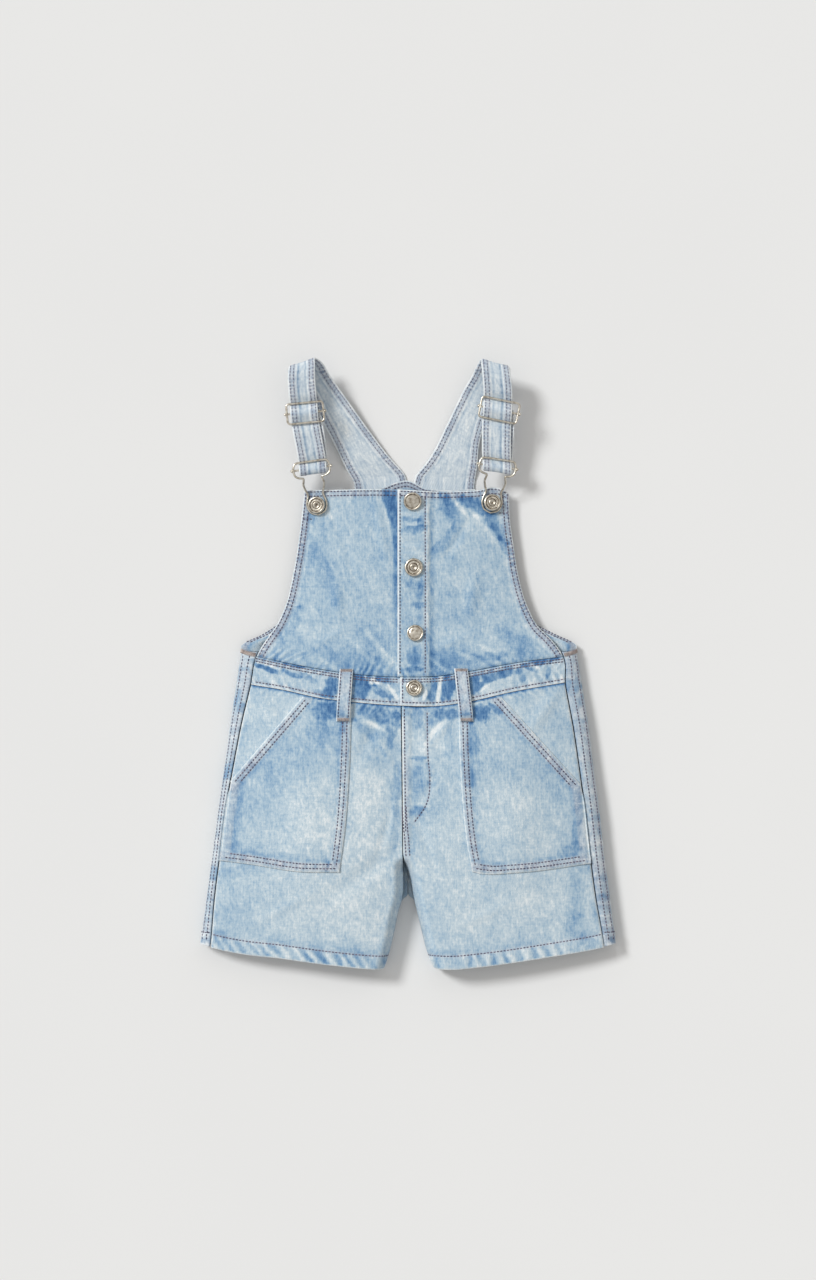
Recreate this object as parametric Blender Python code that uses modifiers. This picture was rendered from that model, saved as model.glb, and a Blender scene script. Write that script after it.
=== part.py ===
"""Child's denim shortalls with a buttoned bib, laid out on their back with the front up.

World frame: metres, +X to the viewer's right, +Y from the hems to the shoulders, +Z up from the
surface that the garment lies on. The origin is on that surface, under the middle of the outline.
Sizes in the tables are millimetres. Left and right are the viewer's.
"""

import math

import bmesh
import bpy
import numpy as np
from mathutils import Matrix, Vector

MM = 0.001
DENIM = 1.2
BAND = 1.8
STRAP = 1.4
GAP = 0.35
HEM_PLY = 2.2
HEM_RAISE = 0.5
WIRE = 1.0

WAIST_BACK = 11.0
FLY_X = -4.6
CROTCH = -173.0
BACK_CROTCH = -211.0
INNER_ROLL = 10.0
SIDE_ROLL = 14.0
VALLEY = 3.0
PLACKET_EDGE = -9.4
PLACKET_SEAM = 17.0
PLACKET_UNDER = 13.5
PLACKET_PLY = 0.5
NECK_RAISE = 2.3
ROOT_UNDER = 8.0
SEAM_LAP = 0.9
INSEAM_LAP = 1.3

SLIDER_Z = 30.0
HOOK_Z = 24.0
FOLD_Z = 28.0
STRAP_HALF = {"left": 12.2, "right": 12.9}


class Sizes:
    """Rows of sizes with named columns, read as smooth curves over the first column."""

    def __init__(self, names, *rows):
        rows = np.array(sorted(rows), float)
        self.key = rows[:, 0]
        self.columns = dict(zip(names.split(), rows.T))
        self.slopes = {n: np.gradient(c, self.key) for n, c in self.columns.items()}

    def at(self, name, where):
        key, values, slopes = self.key, self.columns[name], self.slopes[name]
        i = int(np.clip(np.searchsorted(key, where) - 1, 0, len(key) - 2))
        h = key[i + 1] - key[i]
        t = float(np.clip((where - key[i]) / h, 0, 1))
        a, b = values[i], values[i + 1]
        bend = slopes[i] * h * t * (1 - t) ** 2 - slopes[i + 1] * h * t * t * (1 - t)
        return a + (b - a) * t * t * (3 - 2 * t) + bend


# The front's outline: side seams below the waist, armhole edges above it, and its heights.
FRONT = Sizes(
    "y left right edge crown",
    (-280, -179.5, 178.0, 19, 26),
    (-252, -177.0, 175.6, 19, 27),
    (-210, -173.5, 168.5, 19, 30),
    (-170, -168.5, 163.1, 19, 32),
    (-130, -163.5, 158.6, 19, 32),
    (-90, -156.4, 153.2, 18, 31),
    (-55, -149.7, 148.0, 17, 28),
    (-20, -141.5, 141.5, 16, 24),
    (10.6, -134.5, 137.6, 15, 21),
    (22, -127.5, 129.0, 14, 20),
    (34, -119.0, 117.0, 13, 19),
    (50, -111.3, 108.5, 12, 18.5),
    (83, -103.2, 98.9, 11, 18),
    (108, -98.9, 95.0, 11, 17),
    (130, -96.1, 92.0, 11, 16),
    (157, -93.2, 90.8, 11, 15),
)
# The widest outline of the back, which wraps round to the front's side seams.
SIDE = Sizes(
    "y left right",
    (-280, -190.0, 190.0),
    (-252, -186.9, 187.2),
    (-210, -181.3, 182.0),
    (-170, -176.0, 176.8),
    (-130, -170.7, 172.3),
    (-90, -165.0, 166.9),
    (-55, -160.3, 162.8),
    (-20, -155.0, 157.2),
    (12, -150.3, 152.0),
)
# The inner edges of the front legs, and how high the inner leg seam lies.
INSEAM = Sizes(
    "y left right z",
    (-280, -23.5, 26.5, 9),
    (-258, -16.3, 16.8, 9),
    (-240, -12.0, 12.2, 8),
    (-225, -8.9, 8.4, 6),
    (-210, -4.7, 4.8, 3.2),
    (-192, -3.6, 1.6, 2.6),
    (-180, -4.2, -2.2, 2.6),
    (-170, -4.8, -4.4, 2.6),
    (-160, -4.9, -4.5, 2.6),
    (-38, -6.2, -5.8, 2.6),
)
# The waistband's seams across the front.
WAIST = Sizes(
    "x top bottom",
    (-141, 7.8, -18.5),
    (-110, 1.0, -23.6),
    (-80, -4.6, -30.2),
    (-50, -9.0, -33.8),
    (-8, -11.8, -37.2),
    (25, -11.2, -37.6),
    (55, -6.8, -33.5),
    (95, 0.6, -24.6),
    (141, 6.6, -16.6),
)
HEM = Sizes(
    "x y",
    (-187, -252.5),
    (-176, -255.2),
    (-148, -260.6),
    (-116, -264.0),
    (-79, -269.0),
    (-21, -274.4),
    (24, -273.8),
    (38, -274.2),
    (65, -271.8),
    (123, -263.7),
    (171, -255.8),
    (187, -252.5),
)
BIB_TOP = Sizes("x y", (-94, 156.4), (-8, 156.9), (25, 155.2), (60, 156.2), (84, 157.6), (91, 153.5))
BACK_BIB = Sizes(
    "y left right edge",
    (11, -150.2, 151.8, 8.0),
    (17.5, -149.6, 151.4, 8.5),
    (25, -134.0, 136.0, 7.5),
    (34.7, -119.5, 117.5, 6.0),
    (55, -98.0, 97.0, 4.5),
    (80, -84.0, 84.0, 3.5),
    (110, -70.0, 72.0, 3.0),
    (140, -56.0, 64.0, 2.5),
    (168, -45.0, 58.5, 2.0),
)
BACK_NECK = Sizes(
    "x y",
    (-50, 157.8),
    (-25, 158.6),
    (-9, 164.4),
    (0, 165.6),
    (7, 162.9),
    (13, 159.4),
    (24, 157.6),
    (62, 157.8),
)
# Soft folds pressed into the front: middle, direction, reach along and across it, height.
FOLDS = (
    {"x": -63, "y": 57, "turn": 96, "along": 17, "across": 5, "rise": 1.2},
    {"x": 58, "y": 61, "turn": 84, "along": 18, "across": 6, "rise": 1.3},
    {"x": -24, "y": 118, "turn": 102, "along": 30, "across": 4, "rise": 0.9},
    {"x": -124, "y": -42, "turn": 125, "along": 24, "across": 6, "rise": 1.1},
    {"x": 122, "y": -42, "turn": 55, "along": 26, "across": 6, "rise": 1.2},
    {"x": -34, "y": -66, "turn": 60, "along": 26, "across": 6, "rise": -1.1},
    {"x": 26, "y": -70, "turn": 118, "along": 24, "across": 6, "rise": -1.0},
    {"x": -36, "y": -185, "turn": 35, "along": 36, "across": 8, "rise": -1.3},
    {"x": 40, "y": -188, "turn": 146, "along": 36, "across": 8, "rise": -1.3},
    {"x": -92, "y": -150, "turn": 88, "along": 60, "across": 22, "rise": 1.6},
    {"x": 96, "y": -152, "turn": 92, "along": 60, "across": 22, "rise": 1.6},
)
# Each strap's inside face from the back neck to the shoulder, by its two edges.
STRAP_BACK = {
    "left": (
        {"outer": (-46.8, 158.6), "inner": (1.2, 166.2), "z": 0.75},
        {"outer": (-50.4, 167.0), "inner": (-7.0, 176.0), "z": 1.3},
        {"outer": (-56.7, 178.2), "inner": (-18.5, 188.7), "z": 3.2},
        {"outer": (-66.6, 198.9), "inner": (-35.7, 211.1), "z": 6.5},
        {"outer": (-78.3, 221.4), "inner": (-53.0, 235.3), "z": 11.0},
        {"outer": (-91.0, 246.0), "inner": (-69.8, 258.5), "z": 17.0},
    ),
    "right": (
        {"outer": (59.3, 158.6), "inner": (2.2, 166.4), "z": 0.75},
        {"outer": (60.6, 167.0), "inner": (10.6, 174.0), "z": 1.3},
        {"outer": (62.3, 178.0), "inner": (23.1, 191.3), "z": 3.2},
        {"outer": (64.8, 201.0), "inner": (35.2, 215.5), "z": 6.5},
        {"outer": (74.2, 231.6), "inner": (49.0, 244.0), "z": 12.5},
        {"outer": (80.6, 248.0), "inner": (57.4, 258.6), "z": 17.0},
    ),
}
# The middle of each strap's front part, and how its width turns.
STRAP_LINE = {
    "left": Sizes(
        "y x turn",
        (171, -85.0, 8),
        (182, -86.0, 8),
        (198, -88.6, 7),
        (216, -92.0, 5.4),
        (234, -93.6, 5.4),
        (248, -94.9, 7),
        (257, -95.3, 11),
        (271, -94.7, 19),
    ),
    "right": Sizes(
        "y x turn",
        (171, 80.2, -9),
        (182, 79.8, -9),
        (198, 79.0, -7),
        (218, 79.6, -10),
        (236, 80.5, -10),
        (248, 80.3, -9),
        (257, 79.3, -10),
        (271, 77.6, -16),
    ),
}
FOLD_Y = {"left": 270.0, "right": 269.6}
# How far the inside edge of each strap is drawn aside and up as it comes to the fold.
FOLD_BOW = {"left": (6.4, 3.0), "right": (-4.4, 0.6)}
# How a strap runs over the shoulder, through the slider, round the hook's bar and back.
LACING = (
    {"from": "fold", "along": -6.0, "rise": -5.6, "shift": 0.0},
    {"from": "fold", "along": 0.0, "rise": 0.0, "shift": 0.0},
    {"from": "fold", "along": -5.0, "rise": 5.2, "shift": 0.0},
    {"from": "fold", "along": -14.0, "rise": 6.0, "shift": 0.0},
    {"from": "slider", "along": 17.0, "rise": 1.6, "shift": 0.0},
    {"from": "slider", "along": 9.0, "rise": -2.1, "shift": 0.0},
    {"from": "slider", "along": 0.0, "rise": 2.1, "shift": 0.0},
    {"from": "slider", "along": -9.0, "rise": -2.1, "shift": 0.0},
    {"from": "slider", "along": -17.0, "rise": -1.8, "shift": 0.0},
    {"from": "hook", "along": 14.0, "rise": 0.6, "shift": 0.0},
    {"from": "hook", "along": 6.2, "rise": -2.1, "shift": 0.0},
    {"from": "hook", "along": 0.3, "rise": 2.0, "shift": 0.0},
    {"from": "hook", "along": -3.0, "rise": 1.2, "shift": 0.0},
    {"from": "hook", "along": -4.6, "rise": -0.7, "shift": 0.0},
    {"from": "hook", "along": -3.0, "rise": -2.6, "shift": 0.0},
    {"from": "hook", "along": 0.5, "rise": -3.2, "shift": 0.3},
    {"from": "hook", "along": 6.4, "rise": -4.3, "shift": 0.8},
    {"from": "hook", "along": 14.0, "rise": -2.6, "shift": 2.0},
    {"from": "slider", "along": -17.0, "rise": -4.0, "shift": 3.0},
    {"from": "slider", "along": -9.0, "rise": -4.2, "shift": 2.6},
    {"from": "slider", "along": 0.0, "rise": -2.2, "shift": 1.8},
    {"from": "slider", "along": 2.5, "rise": -2.3, "shift": 1.6},
)
SLIDERS = {
    "left": {"x": -92.0, "y": 224.9, "turn": 5.6, "half": 16.4, "rise": 9.0},
    "right": {"x": 81.6, "y": 227.3, "turn": -11.8, "half": 17.2, "rise": 9.2},
}
HOOKS = {
    "left": {"x": -81.9, "y": 143.1, "turn": 8.2},
    "right": {"x": 75.4, "y": 144.9, "turn": -8.5},
}
HOOK_BAR = 32.6
# Half of a hook's wire, from under the button up to the middle of the top bar.
HOOK_WIRE = (
    {"across": 0.0, "up": -8.8},
    {"across": 6.3, "up": -6.1},
    {"across": 8.8, "up": 0.0},
    {"across": 8.0, "up": 5.2},
    {"across": 6.9, "up": 10.0},
    {"across": 8.4, "up": 14.5},
    {"across": 9.4, "up": 18.8},
    {"across": 8.6, "up": 22.4},
    {"across": 8.6, "up": 24.4},
    {"across": 11.6, "up": 25.2},
    {"across": 14.6, "up": 26.6},
    {"across": 16.2, "up": 29.6},
    {"across": 16.3, "up": 34.0},
    {"across": 15.0, "up": 37.6},
    {"across": 12.0, "up": 39.0},
    {"across": 0.0, "up": 39.2},
)
# A tack button's turned outline as shares of its radius, with heights in millimetres.
BUTTON = (
    {"out": 0.34, "up": 0.0},
    {"out": 0.34, "up": 1.0},
    {"out": 0.92, "up": 1.2},
    {"out": 1.0, "up": 1.8},
    {"out": 0.94, "up": 2.5},
    {"out": 0.82, "up": 2.8},
    {"out": 0.68, "up": 2.2},
    {"out": 0.42, "up": 2.1},
    {"out": 0.34, "up": 2.6},
)
HOOK_SHANK = 2.8
BUTTONS = (
    {"name": "bib_button_left", "x": -81.9, "y": 143.1, "r": 7.7, "shank": HOOK_SHANK, "lean": 4},
    {"name": "bib_button_right", "x": 75.4, "y": 144.9, "r": 7.7, "shank": HOOK_SHANK, "lean": -3},
    {"name": "placket_button_1", "x": 4.1, "y": 146.5, "r": 8.2, "shank": 0.9, "lean": 14},
    {"name": "placket_button_2", "x": 5.1, "y": 86.7, "r": 8.3, "shank": 0.0, "lean": 0},
    {"name": "placket_button_3", "x": 6.5, "y": 27.6, "r": 7.4, "shank": 0.0, "lean": 0},
    {"name": "waist_button", "x": 5.5, "y": -21.7, "r": 7.4, "shank": 0.0, "lean": 0},
)
POCKETS = {
    "left": {
        "mouth": ((-93.6, -28.5), (-160.2, -106.2)),
        "inner": Sizes("y x", (-188, -61.7), (-147, -56.2), (-84, -52.0), (-30, -50.6)),
        "base": Sizes("x y", (-170, -176.3), (-140, -179.8), (-97, -185.8), (-60, -186.2)),
    },
    "right": {
        "mouth": ((81.4, -27.5), (155.4, -109.0)),
        "inner": Sizes("y x", (-188, 58.0), (-160, 52.6), (-132, 49.4), (-80, 46.2), (-30, 45.0)),
        "base": Sizes("x y", (56, -185.2), (65, -187.2), (99, -186.6), (165, -179.0)),
    },
}
LOOPS = {
    "left": {"top": (-55.2, -4.4), "foot": (-58.2, -51.6), "half": 6.1},
    "right": {"top": (47.4, -4.0), "foot": (52.4, -51.6), "half": 6.1},
}
LOOP_RISE = 2.4

FINISH = {
    "denim": {"colour": (0.42, 0.57, 0.70), "rough": 0.85, "metal": 0.0},
    "strap_denim": {"colour": (0.50, 0.60, 0.68), "rough": 0.85, "metal": 0.0},
    "nickel": {"colour": (0.62, 0.58, 0.50), "rough": 0.3, "metal": 1.0},
}


def smooth(low, high, value):
    t = min(max((value - low) / (high - low), 0.0), 1.0)
    return t * t * (3 - 2 * t)


def spread(low, high, count):
    return [low + (high - low) * i / (count - 1) for i in range(count)]


def folds(x, y):
    total = 0.0
    for f in FOLDS:
        turn = math.radians(f["turn"])
        dx, dy = x - f["x"], y - f["y"]
        along = dx * math.cos(turn) + dy * math.sin(turn)
        across = dy * math.cos(turn) - dx * math.sin(turn)
        far = (along / f["along"]) ** 2 + (across / f["across"]) ** 2
        total += f["rise"] * math.exp(-far)
    return total


def front_z(x, y):
    """Height of the front's outer face: crowned between its edges, rolled under at the inner legs."""
    left, right = FRONT.at("left", y), FRONT.at("right", y)
    share = min(max((x - left) / (right - left), 0.0), 1.0)
    edge, crown = FRONT.at("edge", y), FRONT.at("crown", y)
    z = edge + (crown - edge) * (1 - abs(2 * share - 1) ** 2.6)
    z -= VALLEY * math.exp(-(((x - FLY_X) / 30) ** 2)) * smooth(-20, -90, y)
    z += folds(x, y)
    rolled = smooth(CROTCH, CROTCH - 11, y)
    if rolled > 0:
        side = "left" if x < INSEAM.at("left", y) / 2 + INSEAM.at("right", y) / 2 else "right"
        inward = abs(x - INSEAM.at(side, y)) / INNER_ROLL
        if inward < 1:
            low = INSEAM.at("z", y)
            z += rolled * (z - low) * (math.sqrt(max(1 - (1 - inward) ** 2, 0)) - 1)
    return z


def on_front(x, y, lift=0.0):
    """A point that far out from the front's outer face."""
    step = 0.6
    slope_x = (front_z(x + step, y) - front_z(x - step, y)) / (2 * step)
    slope_y = (front_z(x, y + step) - front_z(x, y - step)) / (2 * step)
    out = Vector((-slope_x, -slope_y, 1)).normalized()
    return Vector((x, y, front_z(x, y))) + out * lift


def mesh_object(name, bm, finish, collection):
    mesh = bpy.data.meshes.new(name)
    bm.to_mesh(mesh)
    bm.free()
    obj = bpy.data.objects.new(name, mesh)
    collection.objects.link(obj)
    obj.data.materials.append(finish)
    return obj


def wall(name, points, thickness, finish, collection, under=False, ply=None, offset=-1.0):
    """A cloth wall behind its outer face. A ply map makes hems thicker than the rest."""
    bm = bmesh.new()
    rows = [[bm.verts.new(p * MM) for p in row] for row in points]
    for low, high in zip(rows, rows[1:]):
        for i in range(len(low) - 1):
            corners = (low[i], low[i + 1], high[i + 1], high[i])
            bm.faces.new(corners[::-1] if under else corners)
    obj = mesh_object(name, bm, finish, collection)
    solid = obj.modifiers.new("cloth thickness", "SOLIDIFY")
    solid.offset = offset
    solid.thickness = thickness * MM
    if ply:
        full, share = ply
        group = obj.vertex_groups.new(name="turned hem")
        width = len(points[0])
        group.add([i for i in range(width * len(points)) if i // width in full], 1.0, "REPLACE")
        solid.vertex_group = group.name
        solid.thickness_vertex_group = share
    obj.data.shade_smooth()
    return obj


def between(left, right, low, high, across, up, lift):
    """Points of a panel between two side edges, x over y, and two cross edges, y over x."""
    rows = []
    for v in up:
        row = []
        for u in across:
            y = low(0) * (1 - v) + high(0) * v
            for _ in range(6):
                x = left(y) * (1 - u) + right(y) * u
                y = low(x) * (1 - v) + high(x) * v
            row.append(on_front(x, y, lift(x, y, v)))
        rows.append(row)
    return rows


def front_leg(side, finish, collection):
    outer = [0, 0.04, 0.1, 0.18, 0.28, 0.39, 0.5, 0.61, 0.72, 0.82, 0.9]
    inner = [1 - d / 168 for d in (10, 6.2, 3.2, 1.2, 0)]
    across = outer + inner
    up = [0, 0.025, 0.052, 0.064, 0.12, 0.18, 0.24, 0.3, 0.345, 0.375, 0.4, 0.425]
    up += [0.49, 0.57, 0.66, 0.75, 0.84, 0.93, 1]

    def seam(y):
        return FRONT.at(side, y)

    def middle(y):
        gap = 0.0 if y < CROTCH - 6 else 0.2
        return INSEAM.at(side, y) + (-gap if side == "left" else gap)

    def low(x):
        return HEM.at("y", x)

    def high(x):
        return WAIST.at("bottom", x) - GAP

    def lift(x, y, v):
        lap = 0.9 * smooth(9, 4, abs(x - FLY_X)) * smooth(-166, -156, y) if side == "right" else 0
        return lap + HEM_RAISE * smooth(0.064, 0.05, v)

    if side == "left":
        rows = between(seam, middle, low, high, across, up, lift)
    else:
        rows = between(middle, seam, low, high, [1 - u for u in reversed(across)], up, lift)
    name = "front_leg_" + side
    wall(name, rows, HEM_PLY, finish, collection, ply=((0, 1, 2), DENIM / HEM_PLY))


def back_station(side, y):
    """One section of the back from its side seam, round the side and flat to the middle."""
    sign = -1 if side == "left" else 1
    seam, out = FRONT.at(side, y), SIDE.at(side, y)
    top = FRONT.at("edge", y) - 0.3
    mid = top * 0.5
    points = []
    for degrees in (0, 30, 60, 90):
        a = math.radians(degrees)
        start = seam + sign * SEAM_LAP
        points.append((start + (out - start) * math.sin(a), mid + (top - mid) * math.cos(a)))
    for degrees in (30, 60, 90):
        a = math.radians(degrees)
        points.append((out - sign * SIDE_ROLL * (1 - math.cos(a)), mid - mid * math.sin(a)))
    open_leg = smooth(BACK_CROTCH + 3, BACK_CROTCH - 3, y)
    inner = sign * 0.2 + (INSEAM.at(side, y) - sign * 0.2) * open_leg
    rise = (INSEAM.at("z", y) - INSEAM_LAP) * smooth(BACK_CROTCH, BACK_CROTCH - 14, y)
    flat = out - sign * SIDE_ROLL
    for share in (0.15, 0.32, 0.5, 0.68, 0.84):
        points.append((flat + (inner + sign * INNER_ROLL - flat) * share, 0.0))
    for inward in (1.0, 0.6, 0.3, 0.1, 0.0):
        z = rise * (1 - math.sqrt(1 - (1 - inward) ** 2))
        points.append((inner + sign * INNER_ROLL * inward, z))
    return points


def back_leg(side, finish, collection):
    up = [0, 0.025, 0.052, 0.064, 0.1, 0.14, 0.18, 0.2, 0.22, 0.24, 0.27]
    up += [0.34, 0.44, 0.54, 0.64, 0.74, 0.82, 0.88, 0.92, 0.96, 1]
    rows = []
    for v in up:
        row = []
        for i in range(len(back_station(side, 0))):
            y = -262 * (1 - v) + WAIST_BACK * v
            for _ in range(6):
                x, z = back_station(side, y)[i]
                y = (HEM.at("y", x) + 1.0) * (1 - v) + WAIST_BACK * v
            row.append(Vector((x, y, z)))
        rows.append(row if side == "left" else row[::-1])
    name = "back_leg_" + side
    wall(name, rows, HEM_PLY, finish, collection, under=True, ply=((0, 1, 2), DENIM / HEM_PLY))


def back_bib(finish, collection):
    rows = []
    low = WAIST_BACK + GAP
    shares = [0, 0.015, 0.04, 0.08, 0.14, 0.22, 0.3, 0.38, 0.43, 0.47, 0.5]
    shares += [1 - s for s in reversed(shares[:-1])]
    for v in (0, 0.012, 0.035, 0.08, 0.15, 0.26, 0.4, 0.56, 0.72, 0.84, 0.92, 1):
        row = []
        for share in shares:
            y = low + 140 * v
            for _ in range(6):
                left, right = BACK_BIB.at("left", y), BACK_BIB.at("right", y)
                x = left + (right - left) * share
                y = low * (1 - v) + BACK_NECK.at("y", x) * v
            inward = min(x - left, right - x) / 24
            z = BACK_BIB.at("edge", y) * max(1 - inward, 0) ** 2
            neck = BACK_NECK.at("y", x)
            z += NECK_RAISE * smooth(neck - 24, neck - 13, y)
            row.append(Vector((x, y, z)))
        rows.append(row)
    wall("back_bib", rows, DENIM, finish, collection, under=True)


def bib(side, finish, collection):
    def low(x):
        return WAIST.at("top", x) + GAP

    def high(x):
        return BIB_TOP.at("y", x)

    def edge(y):
        return FRONT.at(side, y)

    def lift(x, y, v):
        if side == "left":
            return 0.0
        lapped = (DENIM + GAP) * smooth(PLACKET_SEAM + 8, PLACKET_SEAM - 1, x)
        return lapped + PLACKET_PLY * smooth(PLACKET_SEAM + 2, PLACKET_SEAM, x)

    up = [0, 0.05, 0.12, 0.2, 0.29, 0.39, 0.5, 0.61, 0.72, 0.82, 0.91, 0.97, 1]
    if side == "left":
        across = [0, 0.06, 0.14, 0.26, 0.38, 0.5, 0.62, 0.75, 0.88, 1]
        rows = between(edge, lambda y: PLACKET_UNDER, low, high, across, up, lift)
    else:
        inner = [(x - PLACKET_EDGE) / 105 for x in (PLACKET_EDGE, 4, 16.8, 19.2, 22, 26, 33)]
        across = inner + [0.52, 0.65, 0.78, 0.9, 1]
        rows = between(lambda y: PLACKET_EDGE, edge, low, high, across, up, lift)
    wall("bib_" + side, rows, DENIM, finish, collection)


def waistband(side, finish, collection):
    def low(x):
        return WAIST.at("bottom", x)

    def high(x):
        return WAIST.at("top", x)

    def edge(y):
        return FRONT.at(side, y)

    def lift(x, y, v):
        return (BAND + GAP) * smooth(22, 14.5, x) if side == "right" else 0.0

    up = [0, 0.33, 0.67, 1]
    if side == "left":
        rows = between(edge, lambda y: 11.5, low, high, spread(0, 1, 14), up, lift)
    else:
        near = [(x + 7.0) / 147 for x in (-7.0, 4, 13.5, 16, 19, 22.5)]
        across = near + spread(0.26, 1, 8)
        rows = between(lambda y: -7.0, edge, low, high, across, up, lift)
    wall("waistband_" + side, rows, BAND, finish, collection)


def pocket(side, finish, collection):
    cut = POCKETS[side]
    (top_x, top_y), (low_x, low_y) = cut["mouth"]
    sign = -1 if side == "left" else 1

    def outer(y):
        if y > low_y:
            return top_x + (low_x - top_x) * min(max((top_y - y) / (top_y - low_y), 0), 1)
        return FRONT.at(side, y) - sign * 1.0 * smooth(low_y - 16, low_y, y)

    def inner(y):
        return cut["inner"].at("x", y)

    def low(x):
        return cut["base"].at("y", x)

    def high(x):
        return WAIST.at("bottom", x) - 2.2

    def lift(x, y, v):
        return DENIM + GAP

    corner = (low_y - low(low_x)) / (high(top_x) - low(low_x))
    up = spread(0, corner, 6)[:-1] + spread(corner, 1, 8)
    across = spread(0, 1, 11)
    if side == "left":
        rows = between(outer, inner, low, high, across, up, lift)
    else:
        rows = between(inner, outer, low, high, across, up, lift)
    wall("pocket_" + side, rows, DENIM, finish, collection)


def belt_loop(side, finish, collection):
    cut = LOOPS[side]
    (top_x, top_y), (foot_x, foot_y) = cut["top"], cut["foot"]
    rows = []
    for share in spread(0, 1, 13):
        arch = smooth(0, 0.16, share) * smooth(1, 0.84, share)
        x, y = foot_x + (top_x - foot_x) * share, foot_y + (top_y - foot_y) * share
        ride = GAP + DENIM + (DENIM + GAP) * smooth(0.52, 0.4, share)
        row = []
        for across in (-1, -0.5, 0, 0.5, 1):
            row.append(on_front(x + across * cut["half"], y, ride + LOOP_RISE * arch))
        rows.append(row)
    wall("belt_loop_" + side, rows, DENIM, finish, collection)


def strap_sections(side):
    """The strap's two edges from its root over the shoulder and through its hardware."""
    edges = []
    for row in STRAP_BACK[side]:
        edges.append((*row["outer"], row["z"], *row["inner"], row["z"]))
    hook, slide = HOOKS[side], SLIDERS[side]
    bar_y = hook["y"] + HOOK_BAR * math.cos(math.radians(hook["turn"]))
    starts = {"fold": (FOLD_Y[side], FOLD_Z), "slider": (slide["y"], SLIDER_Z), "hook": (bar_y, HOOK_Z)}
    for row in LACING:
        y, z = starts[row["from"]][0] + row["along"], starts[row["from"]][1] + row["rise"]
        x = STRAP_LINE[side].at("x", y) + row["shift"]
        turn = math.radians(STRAP_LINE[side].at("turn", y))
        dx, dy = STRAP_HALF[side] * math.cos(turn), STRAP_HALF[side] * math.sin(turn)
        ends = ((x - dx, y - dy, z), (x + dx, y + dy, z))
        outer, inner = ends if side == "left" else ends[::-1]
        if row is LACING[0]:
            inner = (inner[0] + FOLD_BOW[side][0], inner[1] + FOLD_BOW[side][1], inner[2])
        edges.append((*outer, *inner))
    return np.array(edges)


def softened(rows, steps):
    """The rows with others between them on smooth curves, as many as steps says for each span."""
    padded = np.vstack([2 * rows[0] - rows[1], rows, 2 * rows[-1] - rows[-2]])
    found = [rows[0]]
    for i in range(len(rows) - 1):
        a, b, c, d = padded[i : i + 4]
        for k in range(1, steps + 1):
            t = k / steps
            curve = (-a + 3 * b - 3 * c + d) * t**3 + (2 * a - 5 * b + 4 * c - d) * t * t
            found.append((curve + (c - a) * t + 2 * b) / 2)
    return found


def strap(side, finish, collection):
    rows = []
    for i, row in enumerate(softened(strap_sections(side), 2)):
        outer, inner = Vector(row[:3]), Vector(row[3:])
        line = [outer.lerp(inner, share) for share in (0, 0.33, 0.67, 1)]
        if i == 0:
            for point in line:
                point.y = BACK_NECK.at("y", point.x) - ROOT_UNDER
        rows.append(line if side == "left" else line[::-1])
    wall("strap_" + side, rows, STRAP, finish, collection, offset=0.0)


def turned_ring(points, radius):
    """A bent wire closed on itself, as a mesh."""
    curve = bpy.data.curves.new("bent wire", "CURVE")
    curve.dimensions = "3D"
    curve.bevel_depth = radius * MM
    curve.bevel_resolution = 2
    spline = curve.splines.new("POLY")
    spline.points.add(len(points) - 1)
    for place, point in zip(spline.points, points):
        place.co = (*(point * MM), 1)
    spline.use_cyclic_u = True
    holder = bpy.data.objects.new("bent wire", curve)
    bpy.context.scene.collection.objects.link(holder)
    mesh = bpy.data.meshes.new_from_object(holder.evaluated_get(bpy.context.evaluated_depsgraph_get()))
    bpy.data.objects.remove(holder)
    bm = bmesh.new()
    bm.from_mesh(mesh)
    bpy.data.meshes.remove(mesh)
    bmesh.ops.recalc_face_normals(bm, faces=bm.faces)
    return bm


def crossbar(name, middle, turn, half, knob, collection, finish):
    """The straight bar inside a wire frame, with a rounded end past each side wire."""
    bm = bmesh.new()
    lying = Matrix.Rotation(math.pi / 2, 4, "Y")
    place = Matrix.Translation(middle * MM) @ Matrix.Rotation(turn, 4, "Z") @ lying
    bmesh.ops.create_cone(
        bm, cap_ends=True, segments=8, radius1=0.9 * WIRE * MM, radius2=0.9 * WIRE * MM, depth=2 * half * MM
    )
    for sign in (-1, 1):
        ends = [v for v in bm.verts if v.co.z * sign > (half - 0.1) * MM]
        cap = [f for f in bm.faces if all(v in ends for v in f.verts)]
        for grow, reach in ((knob / 0.9, 0.3), (1.0, 1.6), (0.6, 0.6)):
            made = bmesh.ops.extrude_face_region(bm, geom=cap)
            bmesh.ops.delete(bm, geom=cap, context="FACES_ONLY")
            cap = [g for g in made["geom"] if isinstance(g, bmesh.types.BMFace)]
            ends = [g for g in made["geom"] if isinstance(g, bmesh.types.BMVert)]
            for v in ends:
                v.co = Vector((v.co.x * grow, v.co.y * grow, v.co.z + sign * reach * MM))
    bmesh.ops.transform(bm, matrix=place, verts=bm.verts)
    return mesh_object(name, bm, finish, collection)


def framed(name, ring_points, middle, turn, half, finish, collection, tools):
    """A closed wire with its crossbar joined in."""
    obj = mesh_object(name, turned_ring(ring_points, WIRE), finish, collection)
    bar = crossbar(name + "_bar", middle, turn, half, 1.5, tools, finish)
    bar.hide_render = True
    bar.display_type = "WIRE"
    join = obj.modifiers.new("crossbar", "BOOLEAN")
    join.operation = "UNION"
    join.solver = "EXACT"
    join.object = bar
    obj.data.shade_smooth()


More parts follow.
